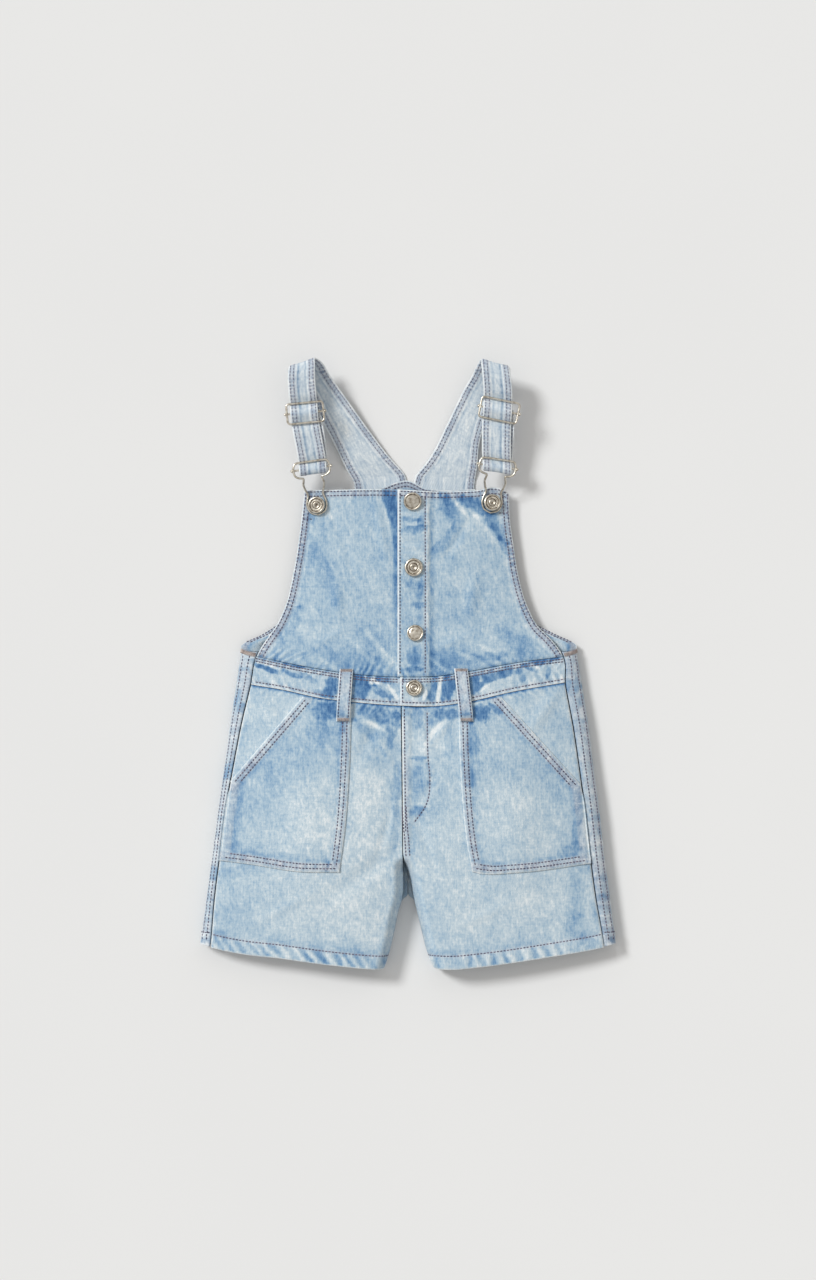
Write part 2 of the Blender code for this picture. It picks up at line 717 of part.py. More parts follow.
def slider(side, finish, collection, tools):
    size = SLIDERS[side]
    turn = math.radians(size["turn"])
    place = Matrix.Translation((size["x"], size["y"], SLIDER_Z)) @ Matrix.Rotation(turn, 4, "Z")
    corner, ring = 2.6, []
    for quarter, (cx, cy) in enumerate(((1, 1), (-1, 1), (-1, -1), (1, -1))):
        for degrees in (0, 30, 60, 90):
            a = math.radians(degrees + 90 * quarter)
            x = cx * (size["half"] - corner) + corner * math.cos(a)
            y = cy * (size["rise"] - corner) + corner * math.sin(a)
            ring.append(place @ Vector((x, y, 0)))
    framed("slider_" + side, ring, place.translation, turn, size["half"] + 0.6, finish, collection, tools)


def hook_point(side, across, up):
    """A point of the hook's wire: close to the bib round the button, then rising to the strap."""
    hook = HOOKS[side]
    turn = math.radians(hook["turn"])
    x = hook["x"] + across * math.cos(turn) - up * math.sin(turn)
    y = hook["y"] + across * math.sin(turn) + up * math.cos(turn)
    resting = front_z(x, min(y, 154)) + GAP + WIRE + 0.25
    return Vector((x, y, resting + (HOOK_Z - resting) * smooth(8, 27, up)))


def bib_hook(side, finish, collection, tools):
    half = np.array([(p["across"], p["up"]) for p in HOOK_WIRE])
    half = softened(half, 2)
    ring = [hook_point(side, a, b) for a, b in half]
    ring += [hook_point(side, -a, b) for a, b in half[-2:0:-1]]
    middle, turn = hook_point(side, 0, HOOK_BAR), math.radians(HOOKS[side]["turn"])
    framed("bib_hook_" + side, ring, middle, turn, 16.9, finish, collection, tools)


def tack_button(cut, finish, collection):
    """A turned button on its shank, standing square to the cloth under it or leaning a little."""
    lapped = cut["name"] not in ("bib_button_left", "bib_button_right")
    lift = GAP
    if lapped:
        lift += (BAND if cut["name"] == "waist_button" else DENIM + PLACKET_PLY) + GAP
    outline = [(p["out"] * cut["r"], p["up"] + (cut["shank"] if i else 0)) for i, p in enumerate(BUTTON)]
    outline = [(0.0, 0.0)] + outline + [(0.0, outline[-1][1] + 0.1)]
    bm = bmesh.new()
    line = [bm.verts.new((r * MM, 0, h * MM)) for r, h in outline]
    edges = [bm.edges.new(pair) for pair in zip(line, line[1:])]
    bmesh.ops.spin(
        bm, geom=line + edges, axis=(0, 0, 1), cent=(0, 0, 0), angle=2 * math.pi, steps=22, use_merge=True
    )
    bmesh.ops.remove_doubles(bm, verts=bm.verts, dist=0.00001)
    bmesh.ops.recalc_face_normals(bm, faces=bm.faces)
    foot = on_front(cut["x"], cut["y"], lift)
    out = (on_front(cut["x"], cut["y"], lift + 1) - foot).normalized()
    stand = Vector((0, 0, 1)).rotation_difference(out).to_matrix().to_4x4()
    lean = Matrix.Rotation(math.radians(cut["lean"]), 4, "X")
    raised = Matrix.Translation((0, 0, abs(math.sin(math.radians(cut["lean"]))) * cut["r"] * 0.36 * MM))
    place = Matrix.Translation(foot * MM) @ stand @ raised @ lean
    bmesh.ops.transform(bm, matrix=place, verts=bm.verts)
    mesh_object(cut["name"], bm, finish, collection).data.shade_smooth()


def finish_material(name):
    look = FINISH[name]
    material = bpy.data.materials.new(name)
    material.use_nodes = True
    shader = material.node_tree.nodes["Principled BSDF"]
    shader.inputs["Base Color"].default_value = (*look["colour"], 1)
    shader.inputs["Roughness"].default_value = look["rough"]
    shader.inputs["Metallic"].default_value = look["metal"]
    return material


def main():
    for obj in list(bpy.data.objects):
        bpy.data.objects.remove(obj)
    garment = bpy.data.collections.new("denim_shortalls")
    tools = bpy.data.collections.new("joined_bars")
    tools.hide_render = True
    for collection in (garment, tools):
        bpy.context.scene.collection.children.link(collection)
    denim, strap_denim, nickel = (finish_material(name) for name in FINISH)
    for side in ("left", "right"):
        front_leg(side, denim, garment)
        back_leg(side, denim, garment)
        bib(side, denim, garment)
        waistband(side, denim, garment)
        pocket(side, denim, garment)
        belt_loop(side, denim, garment)
        strap(side, strap_denim, garment)
        slider(side, nickel, garment, tools)
        bib_hook(side, nickel, garment, tools)
    back_bib(denim, garment)
    for cut in BUTTONS:
        tack_button(cut, nickel, garment)


main()
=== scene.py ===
"""Child's shortalls in washed light denim, laid out on their back on a pale floor.

Sizes are millimetres in the part's own frame: X to the viewer's right, Y from the hems to the
shoulders, Z up from the floor. Left and right are the viewer's.
"""

import math

import bmesh
import bpy
import numpy as np
from mathutils import Matrix, Vector


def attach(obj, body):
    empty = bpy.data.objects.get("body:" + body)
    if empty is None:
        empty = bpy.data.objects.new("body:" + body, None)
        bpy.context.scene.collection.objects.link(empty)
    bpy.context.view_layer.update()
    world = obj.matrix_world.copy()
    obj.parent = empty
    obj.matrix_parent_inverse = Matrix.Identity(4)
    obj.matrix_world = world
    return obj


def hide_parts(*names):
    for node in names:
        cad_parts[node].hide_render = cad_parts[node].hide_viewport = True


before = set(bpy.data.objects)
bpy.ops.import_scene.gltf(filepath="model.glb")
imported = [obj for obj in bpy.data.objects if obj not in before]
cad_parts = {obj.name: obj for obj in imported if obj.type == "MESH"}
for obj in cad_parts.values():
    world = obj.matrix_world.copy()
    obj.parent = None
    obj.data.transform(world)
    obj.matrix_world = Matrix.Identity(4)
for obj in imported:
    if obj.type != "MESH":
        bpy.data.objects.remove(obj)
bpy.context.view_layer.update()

# The studio: a plain pale floor, a soft key light from the upper left, an even pale surround, and a
# camera that looks straight down on the garment.
MM = 0.001
FRAME_HEIGHT = 1152.0
LENS, SENSOR = 85.0, 36.0
FRONT_HEIGHT = 14.0
PHOTO_MIDDLE = 21.6
KEY_TILT, KEY_HEADING, KEY_SOFTNESS = 47.0, 35.0, 15.0
KEY_SHARE = 0.47
FLOOR_GREY = 0.79
FLOOR_HALF, FLOOR_DROP = 2500.0, 0.2
DOME = ((0.0, 0.19), (0.25, 0.40), (0.6, 0.585), (1.0, 0.64))
DOME_TINT = (1.005, 0.99, 0.965)


def shown(obj):
    bpy.context.scene.collection.objects.link(obj)
    return obj


camera = shown(bpy.data.objects.new("camera", bpy.data.cameras.new("camera")))
camera.data.sensor_fit = "VERTICAL"
camera.data.sensor_height = SENSOR
camera.data.lens = LENS
camera.location = (0, PHOTO_MIDDLE * MM, (FRAME_HEIGHT * LENS / SENSOR + FRONT_HEIGHT) * MM)
bpy.context.scene.camera = camera
bpy.context.scene.view_settings.view_transform = "Standard"

key = shown(bpy.data.objects.new("key", bpy.data.lights.new("key", "SUN")))
key.data.angle = math.radians(KEY_SOFTNESS)
key.data.energy = KEY_SHARE * math.pi / math.cos(math.radians(KEY_TILT))
key.data.color = (0.975, 0.985, 0.985)
heading = math.radians(KEY_HEADING)
tilt = math.radians(KEY_TILT)
toward = Vector((math.cos(heading) * math.sin(tilt), -math.sin(heading) * math.sin(tilt), -math.cos(tilt)))
key.rotation_euler = toward.to_track_quat("-Z", "Y").to_euler()

world = bpy.data.worlds.new("surround")
world.use_nodes = True
bpy.context.scene.world = world


class Value:
    """A number or colour in a material; sums and products of values add its Math nodes."""

    def __init__(self, finish, socket):
        self.finish = finish
        self.socket = socket

    def math(self, operation, first, second):
        return self.finish.add("ShaderNodeMath", {"operation": operation}, {0: first, 1: second})

    def __add__(self, other):
        return self.math("ADD", self, other)

    def __sub__(self, other):
        return self.math("SUBTRACT", self, other)

    def __rsub__(self, other):
        return self.math("SUBTRACT", other, self)

    def __mul__(self, other):
        return self.math("MULTIPLY", self, other)

    __radd__ = __add__
    __rmul__ = __mul__


class Finish:
    """A material, built by adding nodes to its Principled shader."""

    def __init__(self, name):
        self.material = bpy.data.materials.new(name)
        self.material.use_nodes = True
        self.tree = self.material.node_tree
        self.shader = self.tree.nodes["Principled BSDF"]

    def feed(self, node, sockets):
        for key, value in sockets.items():
            if isinstance(value, Value):
                self.tree.links.new(value.socket, node.inputs[key])
            else:
                node.inputs[key].default_value = value

    def add(self, kind, settings=None, sockets=None, out=0):
        node = self.tree.nodes.new(kind)
        for name, value in (settings or {}).items():
            if name == "stops":
                while len(node.color_ramp.elements) < len(value):
                    node.color_ramp.elements.new(1.0)
                for element, (place, colour) in zip(node.color_ramp.elements, value):
                    element.position = place
                    element.color = (*colour, 1)
            else:
                setattr(node, name, value)
        self.feed(node, sockets or {})
        return Value(self, node.outputs[out])

    def noise(self, place, stretch, detail=2.0, rough=0.5):
        """Random patches whose sizes along the two directions of the cloth are given in millimetres."""
        across, along = (1 / (size * MM) for size in stretch)
        spread = self.add("ShaderNodeMapping", {}, {"Vector": place, "Scale": (across, along, across)})
        return self.add(
            "ShaderNodeTexNoise", {}, {"Vector": spread, "Scale": 1.0, "Detail": detail, "Roughness": rough}
        )

    def relief(self, height, distance, strength=1.0):
        return self.add("ShaderNodeBump", {}, {"Height": height, "Distance": distance, "Strength": strength})


def srgb(red, green, blue):
    """A colour as a screen shows it, from 0 to 255, made linear."""
    return tuple(
        (c / 255 / 12.92) if c <= 10.3 else ((c / 255 + 0.055) / 1.055) ** 2.4 for c in (red, green, blue)
    )


# The surround is bright overhead and dim at the horizon, as round a big soft box.
sky = world.node_tree
direction = sky.nodes.new("ShaderNodeTexCoord")
upward = sky.nodes.new("ShaderNodeSeparateXYZ")
dome = sky.nodes.new("ShaderNodeValToRGB")
sky.links.new(direction.outputs["Generated"], upward.inputs[0])
sky.links.new(upward.outputs["Z"], dome.inputs[0])
sky.links.new(dome.outputs[0], sky.nodes["Background"].inputs["Color"])
while len(dome.color_ramp.elements) < len(DOME):
    dome.color_ramp.elements.new(1.0)
for element, (place, level) in zip(dome.color_ramp.elements, DOME):
    element.position = place
    element.color = (*(level * tint for tint in DOME_TINT), 1)

paper = Finish("pale_floor")
ground = paper.add("ShaderNodeTexCoord", out="Object")
cloudy = paper.noise(ground, (220, 220), detail=1.0)
paper.feed(paper.shader, {
    "Base Color": paper.add("ShaderNodeValToRGB", {"stops": (
        (0.2, (FLOOR_GREY * 0.985,) * 3),
        (0.8, (FLOOR_GREY, FLOOR_GREY, FLOOR_GREY * 0.998)),
    )}, {0: cloudy}),
    "Roughness": 0.9,
    "Specular IOR Level": 0.1,
})
floor_bm = bmesh.new()
bmesh.ops.create_grid(floor_bm, x_segments=1, y_segments=1, size=FLOOR_HALF * MM)
bmesh.ops.translate(floor_bm, verts=floor_bm.verts, vec=(0, 0, -FLOOR_DROP * MM))
floor_mesh = bpy.data.meshes.new("floor")
floor_bm.to_mesh(floor_mesh)
floor_bm.free()
floor_mesh.materials.append(paper.material)
shown(bpy.data.objects.new("floor", floor_mesh))

# The back legs: one panel each, wrapped round the side to a seam that shows on the front. Washed twill,
# double-stitched beside the side seam, with a single turned hem.
DENIM = 1.2
CLOTH = 1.0
GAP = 0.35
FLY_X = -4.6
CROTCH = -173.0
BACK_CROTCH = -211.0
INNER_ROLL = 10.0
SIDE_ROLL = 14.0
VALLEY = 3.0
WAIST_BACK = 11.0
SEAM_LAP = 0.9
INSEAM_LAP = 1.3
HEM_DEEP = 12.3
HEM_LEVEL = -250.0
LEG_LONG = 262.0
PITCH = 1.45
RIB = 1.05
WAVES_A_UNIT = 3.3
BACK_LEG_CUT = {"flat": (0.265, 0.31), "area": 0.062}


class Sizes:
    """Rows of sizes with named columns, read as smooth curves over the first column."""

    def __init__(self, names, *rows):
        rows = np.array(sorted(rows), float)
        self.key = rows[:, 0]
        self.columns = dict(zip(names.split(), rows.T))
        self.slopes = {n: np.gradient(c, self.key) for n, c in self.columns.items()}

    def at(self, name, where):
        key, values, slopes = self.key, self.columns[name], self.slopes[name]
        i = np.clip(np.searchsorted(key, where) - 1, 0, len(key) - 2)
        h = key[i + 1] - key[i]
        t = np.clip((where - key[i]) / h, 0, 1)
        a, b = values[i], values[i + 1]
        bend = slopes[i] * h * t * (1 - t) ** 2 - slopes[i + 1] * h * t * t * (1 - t)
        return a + (b - a) * t * t * (3 - 2 * t) + bend


# Side seams below the waist, armhole edges above it, and the front's heights.
FRONT = Sizes(
    "y left right edge crown",
    (-280, -179.5, 178.0, 19, 26),
    (-252, -177.0, 175.6, 19, 27),
    (-210, -173.5, 168.5, 19, 30),
    (-170, -168.5, 163.1, 19, 32),
    (-130, -163.5, 158.6, 19, 32),
    (-90, -156.4, 153.2, 18, 31),
    (-55, -149.7, 148.0, 17, 28),
    (-20, -141.5, 141.5, 16, 24),
    (10.6, -134.5, 137.6, 15, 21),
    (22, -127.5, 129.0, 14, 20),
    (34, -119.0, 117.0, 13, 19),
    (50, -111.3, 108.5, 12, 18.5),
    (83, -103.2, 98.9, 11, 18),
    (108, -98.9, 95.0, 11, 17),
    (130, -96.1, 92.0, 11, 16),
    (157, -93.2, 90.8, 11, 15),
)
SIDE = Sizes(
    "y left right",
    (-280, -190.0, 190.0),
    (-252, -186.9, 187.2),
    (-210, -181.3, 182.0),
    (-170, -176.0, 176.8),
    (-130, -170.7, 172.3),
    (-90, -165.0, 166.9),
    (-55, -160.3, 162.8),
    (-20, -155.0, 157.2),
    (12, -150.3, 152.0),
)
INSEAM = Sizes(
    "y left right z",
    (-280, -23.5, 26.5, 9),
    (-258, -16.3, 16.8, 9),
    (-240, -12.0, 12.2, 8),
    (-225, -8.9, 8.4, 6),
    (-210, -4.7, 4.8, 3.2),
    (-192, -3.6, 1.6, 2.6),
    (-180, -4.2, -2.2, 2.6),
    (-170, -4.8, -4.4, 2.6),
    (-160, -4.9, -4.5, 2.6),
    (-38, -6.2, -5.8, 2.6),
)
HEM = Sizes(
    "x y",
    (-187, -252.5),
    (-176, -255.2),
    (-148, -260.6),
    (-116, -264.0),
    (-79, -269.0),
    (-21, -274.4),
    (24, -273.8),
    (38, -274.2),
    (65, -271.8),
    (123, -263.7),
    (171, -255.8),
    (187, -252.5),
)


def smooth(low, high, value):
    t = np.clip((value - low) / (high - low), 0.0, 1.0)
    return t * t * (3 - 2 * t)


def near(distance, width):
    """1 on a line, fading to 0 over about that width on both sides."""
    return np.exp(-((distance / width) ** 2))


def mottle(x, y, size, seed):
    """Smooth random patches about that many millimetres across, from -1 to 1."""
    lattice = np.random.default_rng(seed).uniform(-1, 1, (64, 64))
    gx, gy = x / size + 1000, y / size + 1000
    i, j = np.floor(gx).astype(int), np.floor(gy).astype(int)
    fx, fy = smooth(0, 1, gx - i), smooth(0, 1, gy - j)
    low = lattice[i % 64, j % 64] * (1 - fx) + lattice[(i + 1) % 64, j % 64] * fx
    high = lattice[i % 64, (j + 1) % 64] * (1 - fx) + lattice[(i + 1) % 64, (j + 1) % 64] * fx
    return low * (1 - fy) + high * fy


def wash(x, y, seed):
    """The cloth's own uneven wash: clouds with fine flecks drawn out along the warp."""
    clouds = 0.4 * mottle(x, y, 34, seed + 4) + 0.3 * mottle(x, y, 15, seed)
    clouds = clouds + 0.25 * mottle(x, y, 7, seed + 1)
    leaning = x + 0.35 * y
    flecks = 0.5 * mottle(leaning, y * 0.5, 3.2, seed + 2)
    flecks = flecks + 0.5 * mottle(leaning * 1.1, y * 0.4, 1.9, seed + 3)
    return clouds + flecks


def puckers(along, off, pace, seed, slant=0.0, stray=0.8):
    """Uneven ripples across a seam, from -1 in the wide hollows to 1 on the narrow ridges."""
    s = along + slant * off * (1 + 0.6 * mottle(along, 0 * along + 5, 4 * pace, seed + 3))
    phase = s / pace + stray * mottle(s, 0 * s, 2.4 * pace, seed) + 0.2 * mottle(s, off, 0.8 * pace, seed + 1)
    size = 0.58 + 0.6 * mottle(s, 0.4 * off + 9, 1.8 * pace, seed + 5)
    wave = 0.5 + 0.5 * np.sin(2 * np.pi * phase)
    return (2.1 * wave**1.7 - 1) * np.clip(size, 0.04, 1.1)


def kept_dye(ripple, along, seed, blue=0.36, rubbed=0.16, least=0.25):
    """Fading over a puckered seam: rubbed off the ridges, blue left here and there in the hollows."""
    left = least + (1 - least) * smooth(-0.5, 0.55, mottle(along, 0 * along + 3, 17, seed))
    return rubbed * np.maximum(ripple, 0) - blue * np.maximum(-ripple - 0.12, 0) * left


def stops(length, pitch=PITCH):
    """Shares along a length, close together by both ends, where the folded edges turn."""
    fine = [0.0, 0.35, 0.9, 1.8]
    middle = np.linspace(fine[-1] + pitch * 0.8, length - fine[-1] - pitch * 0.8, int(length / pitch))
    return np.concatenate([fine, middle, [length - f for f in reversed(fine)]]) / length


def cloth_grid(name, across, up, flip=False):
    """A flat sheet with a column of points at each share across and a row at each share up."""
    bm = bmesh.new()
    bmesh.ops.create_grid(bm, x_segments=len(across) - 1, y_segments=len(up) - 1, size=0.5)
    if flip:
        bmesh.ops.reverse_faces(bm, faces=bm.faces)
    mesh = bpy.data.meshes.new(name + "_cloth")
    bm.to_mesh(mesh)
    bm.free()
    flat = np.empty(len(mesh.vertices) * 3)
    mesh.vertices.foreach_get("co", flat)
    column = np.rint((flat[0::3] + 0.5) * (len(across) - 1)).astype(int)
    row = np.rint((flat[1::3] + 0.5) * (len(up) - 1)).astype(int)
    return mesh, np.asarray(across)[column], np.asarray(up)[row]


def cloth(mesh, points, weave, tone, grey, finish, flat, area, rests_on=(), slot="denim", offset=-1.0,
          thick=CLOTH):
    """The sheet laid in place, with the run of its weave, how far each point has faded and greyed, and the
    painted shade and light that a few pieces add to its tone.
    """
    mesh.vertices.foreach_set("co", (points * MM).ravel())
    for name, level in (("tone", tone), ("seam_grey", grey * smooth(0.05, 0.5, tone))):
        layer = mesh.attributes.new(name, "FLOAT", "POINT")
        layer.data.foreach_set("value", np.clip(level + 0 * tone, 0, 1).astype(np.float32))
    corners = np.empty(len(mesh.loops), dtype=np.int32)
    mesh.loops.foreach_get("vertex_index", corners)
    layer = mesh.uv_layers.new(name="weave")
    layer.data.foreach_set("uv", (weave[corners] * MM).ravel())
    mesh.materials.append(finish)
    mesh.shade_smooth()
    mesh.update()
    obj = shown(bpy.data.objects.new(mesh.name, mesh))
    wall = obj.modifiers.new("cloth thickness", "SOLIDIFY")
    wall.thickness = thick * MM
    wall.offset = offset
    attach(obj, "root")
    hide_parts(mesh.name.removesuffix("_cloth"))
    return obj


def twill(name, stops_of_fade, grain, rough):
    """Washed twill: blue warp faded to almost white, with slubs, a crossing weft and a fine diagonal rib."""
    made = Finish(name)
    run = made.add("ShaderNodeUVMap", {"uv_map": "weave"})
    tone = made.add("ShaderNodeAttribute", {"attribute_name": "tone"}, out="Fac")
    grey = made.add("ShaderNodeAttribute", {"attribute_name": "seam_grey"}, out="Fac")
    slub = made.noise(run, (1.5, 10.0), detail=3.0, rough=0.6)
    weft = made.noise(run, (8.0, 1.6), detail=2.0)
    fleck = made.noise(run, (2.2, 3.6), detail=4.0, rough=0.7)
    cloud = made.noise(run, (13.0, 17.0), detail=3.0, rough=0.6)
    turned = made.add("ShaderNodeMapping", {}, {"Vector": run, "Rotation": (0, 0, math.radians(-58))})
    rib = made.add(
        "ShaderNodeTexWave",
        {"wave_type": "BANDS", "bands_direction": "X", "wave_profile": "SIN"},
        {"Vector": turned, "Scale": 1 / (RIB * MM) / WAVES_A_UNIT, "Distortion": 1.6, "Detail": 1.0,
         "Detail Scale": 2.0},
        out="Fac",
    )
    yarn = (slub - 0.5) + (weft - 0.5) * 0.45 + (fleck - 0.5) * 1.5 + (cloud - 0.5) * 0.5
    # The tone is mostly fading, with painted shade and painted light added in a few places on the front legs,
    # the bib and the back bib.
    worn = tone + grain * yarn + (rib - 0.5) * 0.07
    colour = made.add("ShaderNodeValToRGB", {"stops": stops_of_fade}, {0: worn})
    specks = made.noise(run, (1.6, 1.6), detail=2.0)
    dull = made.add("ShaderNodeValToRGB", {"stops": (
        (0.36, srgb(104, 106, 128)),
        (0.50, srgb(160, 162, 176)),
        (0.64, srgb(212, 214, 220)),
    )}, {0: specks * 0.5 + worn * 0.42})
    height = rib * 0.45 + fleck * 0.6 + slub * 0.5
    made.feed(made.shader, {
        "Base Color": made.add("ShaderNodeMix", {"data_type": "RGBA"}, {0: grey, 6: colour, 7: dull}, out=2),
        "Roughness": rough + (fleck - 0.5) * 0.12,
        "Specular IOR Level": 0.25,
        "Sheen Weight": 0.12,
        "Sheen Roughness": 0.6,
        "Normal": made.relief(height, 0.00045, 0.55),
    })
    return made.material


denim = twill("washed_denim", (
    (0.0, srgb(54, 98, 148)),
    (0.16, srgb(78, 122, 168)),
    (0.36, srgb(118, 154, 188)),
    (0.58, srgb(160, 185, 204)),
    (0.80, srgb(194, 209, 218)),
    (1.0, srgb(229, 234, 236)),
), 0.46, 0.86)


def back_place(side, turn, y):
    """A point of the back leg: over the side strip, round the side, flat below and up at the inner leg."""
    sign = -1 if side == "left" else 1
    start, out = FRONT.at(side, y) + sign * SEAM_LAP, SIDE.at(side, y)
    top = FRONT.at("edge", y) - 0.3
    mid = top * 0.5
    over, under = np.clip(turn, 0, 1) * np.pi / 2, np.clip(turn - 1, 0, 1) * np.pi / 2
    flat_share, lift_share = np.clip(turn - 2, 0, 1), np.clip(turn - 3, 0, 1)
    open_leg = smooth(BACK_CROTCH + 3, BACK_CROTCH - 3, y)
    inner = sign * 0.2 + (INSEAM.at(side, y) - sign * 0.2) * open_leg
    rise = (INSEAM.at("z", y) - INSEAM_LAP) * smooth(BACK_CROTCH, BACK_CROTCH - 14, y)
    x = start + (out - start) * np.sin(over) - sign * SIDE_ROLL * (1 - np.cos(under))
    z = mid + (top - mid) * np.cos(over) - mid * np.sin(under)
    flat_end = inner + sign * INNER_ROLL
    x = np.where(turn > 2, (out - sign * SIDE_ROLL) * (1 - flat_share) + flat_end * flat_share, x)
    x = np.where(turn > 3, flat_end - sign * INNER_ROLL * lift_share, x)
    z = np.where(turn > 2, 0.0, z)
    return x, np.where(turn > 3, rise * (1 - np.sqrt(1 - lift_share**2)), z)


def outward(place, first, second, step=0.4):
    """Which way a surface faces, from its two directions."""
    one = place(first + step, second) - place(first - step, second)
    two = place(first, second + step) - place(first, second - step)
    out = np.cross(one, two)
    return out / np.maximum(np.linalg.norm(out, axis=-1, keepdims=True), 1e-9)


class Thread:
    """Rows of real stitches, gathered into one mesh for a group of seams."""

    def __init__(self, name, finish):
        self.name = name
        self.finish = finish
        self.places = []

    def row(self, points, out, pitch=3.0, long=2.4, wide=0.62, high=0.42, crosswise=False):
        """Stitches end to end along a line of points, or side by side across it as a bar tack."""
        reach = np.concatenate([[0], np.cumsum(np.linalg.norm(np.diff(points, axis=0), axis=1))])
        count = max(int(reach[-1] / pitch), 1)
        middle = (np.arange(count) + 0.5) * reach[-1] / count
        half = min(long, pitch) / 2
        first, last, up = (
            np.stack([np.interp(middle + d, reach, table[:, i]) for i in range(3)], axis=1)
            for d, table in ((-half, points), (half, points), (0, out))
        )
        run = last - first
        run /= np.linalg.norm(run, axis=1, keepdims=True)
        aside = np.cross(up, run)
        if crosswise:
            run, aside = aside, run
        self.places.append(np.stack([aside * wide, up * high, run * long / 2, (first + last) / 2], axis=1))

    def tack(self, points, out, long):
        """A bar tack: short stitches set close, side by side along a line of points."""
        self.row(points, out, pitch=1.0, long=long, wide=0.44, crosswise=True)

    def along(self, line, lift, pitch=3.0, **size):
        """A row over the front, standing just proud of the cloth."""
        keep = np.linspace(0, line.length, max(int(line.length / 0.8), 3))
        x, y = (np.interp(keep, line.reach, line.rows[:, k]) for k in (0, 1))
        self.row(*on_front(x, y, lift(x, y) + 0.1), pitch=pitch, **size)

    def done(self):
        """Every stitch is the same small round-ended bead, stretched along its row."""
        bead = bmesh.new()
        bmesh.ops.create_uvsphere(bead, u_segments=6, v_segments=4, radius=1)
        corners = np.array([(*v.co, 1) for v in bead.verts])
        faces = [[v.index for v in f.verts] for f in bead.faces]
        bead.free()
        places = np.concatenate(self.places)
        points = (corners @ places).reshape(-1, 3) * MM
        starts = np.arange(len(places)) * len(corners)
        mesh = bpy.data.meshes.new(self.name)
        mesh.from_pydata(points, [], [[start + c for c in face] for start in starts for face in faces])
        mesh.materials.append(self.finish)
        mesh.shade_smooth()
        obj = shown(bpy.data.objects.new(self.name, mesh))
        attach(obj, "root")


def thread_finish(name, dark, pale):
    """Cotton-wrapped thread, its colour uneven from the wash."""
    made = Finish(name)
    place = made.add("ShaderNodeTexCoord", out="Object")
    worn = made.noise(place, (5.0, 5.0), detail=2.0)
    made.feed(made.shader, {
        "Base Color": made.add("ShaderNodeValToRGB", {"stops": ((0.3, dark), (0.7, pale))}, {0: worn}),
        "Roughness": 0.75,
        "Specular IOR Level": 0.3,
        "Normal": made.relief(made.noise(place, (0.3, 0.3)), 0.0001, 0.5),
    })
    return made.material


mauve = thread_finish("grey_mauve_thread", srgb(64, 64, 90), srgb(128, 120, 136))
tan = thread_finish("tan_thread", srgb(142, 128, 126), srgb(206, 192, 184))

strip_turns = np.concatenate([
    np.linspace(0, 1, 15)[:-1],
    np.linspace(1, 2, 9)[:-1],
    np.linspace(2, 3, 34)[:-1],
    np.linspace(3, 4, 9),
])


def strip_facing(side, turn, y):
    def place(t, along):
        x, z = back_place(side, t, along * 10)
        return np.stack([x, along * 10, z], axis=-1)

    out = outward(place, np.clip(turn, 0.03, 3.97), y / 10, step=0.03)
    return out * (1 if side == "right" else -1)


def strip_lift(side, turn, x, y):
    """Relief of the back's side strip: its turned hem, roped, and slight pulls along the seam."""
    above_hem = y - HEM.at("y", x)
    on_strip = smooth(1.3, 0.8, turn)
    out = 0.35 * strip_rope(x, above_hem) * smooth(1.9, 1.5, turn)
    out = out + 0.22 * puckers(y, 0 * y, 10, 21) * on_strip
    return out + 0.5 * smooth(HEM_DEEP + 1, HEM_DEEP, above_hem) * on_strip


def strip_rope(x, above_hem):
    return puckers(x, above_hem, 8.5, 11, slant=0.7) * smooth(HEM_DEEP + 5, HEM_DEEP - 2, above_hem)


for side in ("left", "right"):
    sign = -1 if side == "left" else 1
    up = stops(LEG_LONG, 1.8)
    mesh, turn, v = cloth_grid("back_leg_" + side, strip_turns, up, flip=side == "left")
    y = -LEG_LONG * (1 - v) + WAIST_BACK * v
    for _ in range(6):
        x, z = back_place(side, turn, y)
        y = (HEM.at("y", x) + 1.0) * (1 - v) + WAIST_BACK * v
    points = np.stack([x, y, z], axis=1)
    facing = strip_facing(side, turn, y)
    above_hem = y - HEM.at("y", x)
    beside = np.abs(x - FRONT.at(side, y))
    on_strip = smooth(1.3, 0.8, turn)
    rope = strip_rope(x, above_hem)
    pull = puckers(y, 0 * y, 10, 21) * on_strip
    points += facing * strip_lift(side, turn, x, y)[:, None]
    tone = 0.64 + 0.11 * on_strip + 0.13 * wash(x, y, 31 + sign) + kept_dye(rope, x, 33, 0.3, 0.14)
    tone += kept_dye(pull, y, 35, 0.18, 0.14)
    left_blue = smooth(0.35, 0.9, mottle(y, 0 * y, 19, 41 + sign) + 0.4 * mottle(x, y, 4, 43)) * on_strip
    low_blue = 0.14 * smooth(-165, -200, y) * smooth(-0.1, 0.6, mottle(x, y, 8, 47)) * on_strip
    tone -= 0.26 * left_blue + low_blue
    tone += 0.25 * near(turn - 1.0, 0.12) * smooth(-0.5, 0.4, mottle(y, 0 * y, 9, 45))
    tone += 0.3 * near(above_hem, 1.3) - 0.25 * near(beside, 1.3) * smooth(1.5, 0.5, turn)
    grey = (0.42 - 0.3 * left_blue) * on_strip * (0.75 + 0.4 * mottle(x, y, 6, 49))
    run = np.stack([turn * 26.0 * np.minimum(turn, 1) + x * 0.6, y], axis=1)
    cloth(mesh, points, run, tone, grey, denim, **BACK_LEG_CUT, rests_on=["floor"])

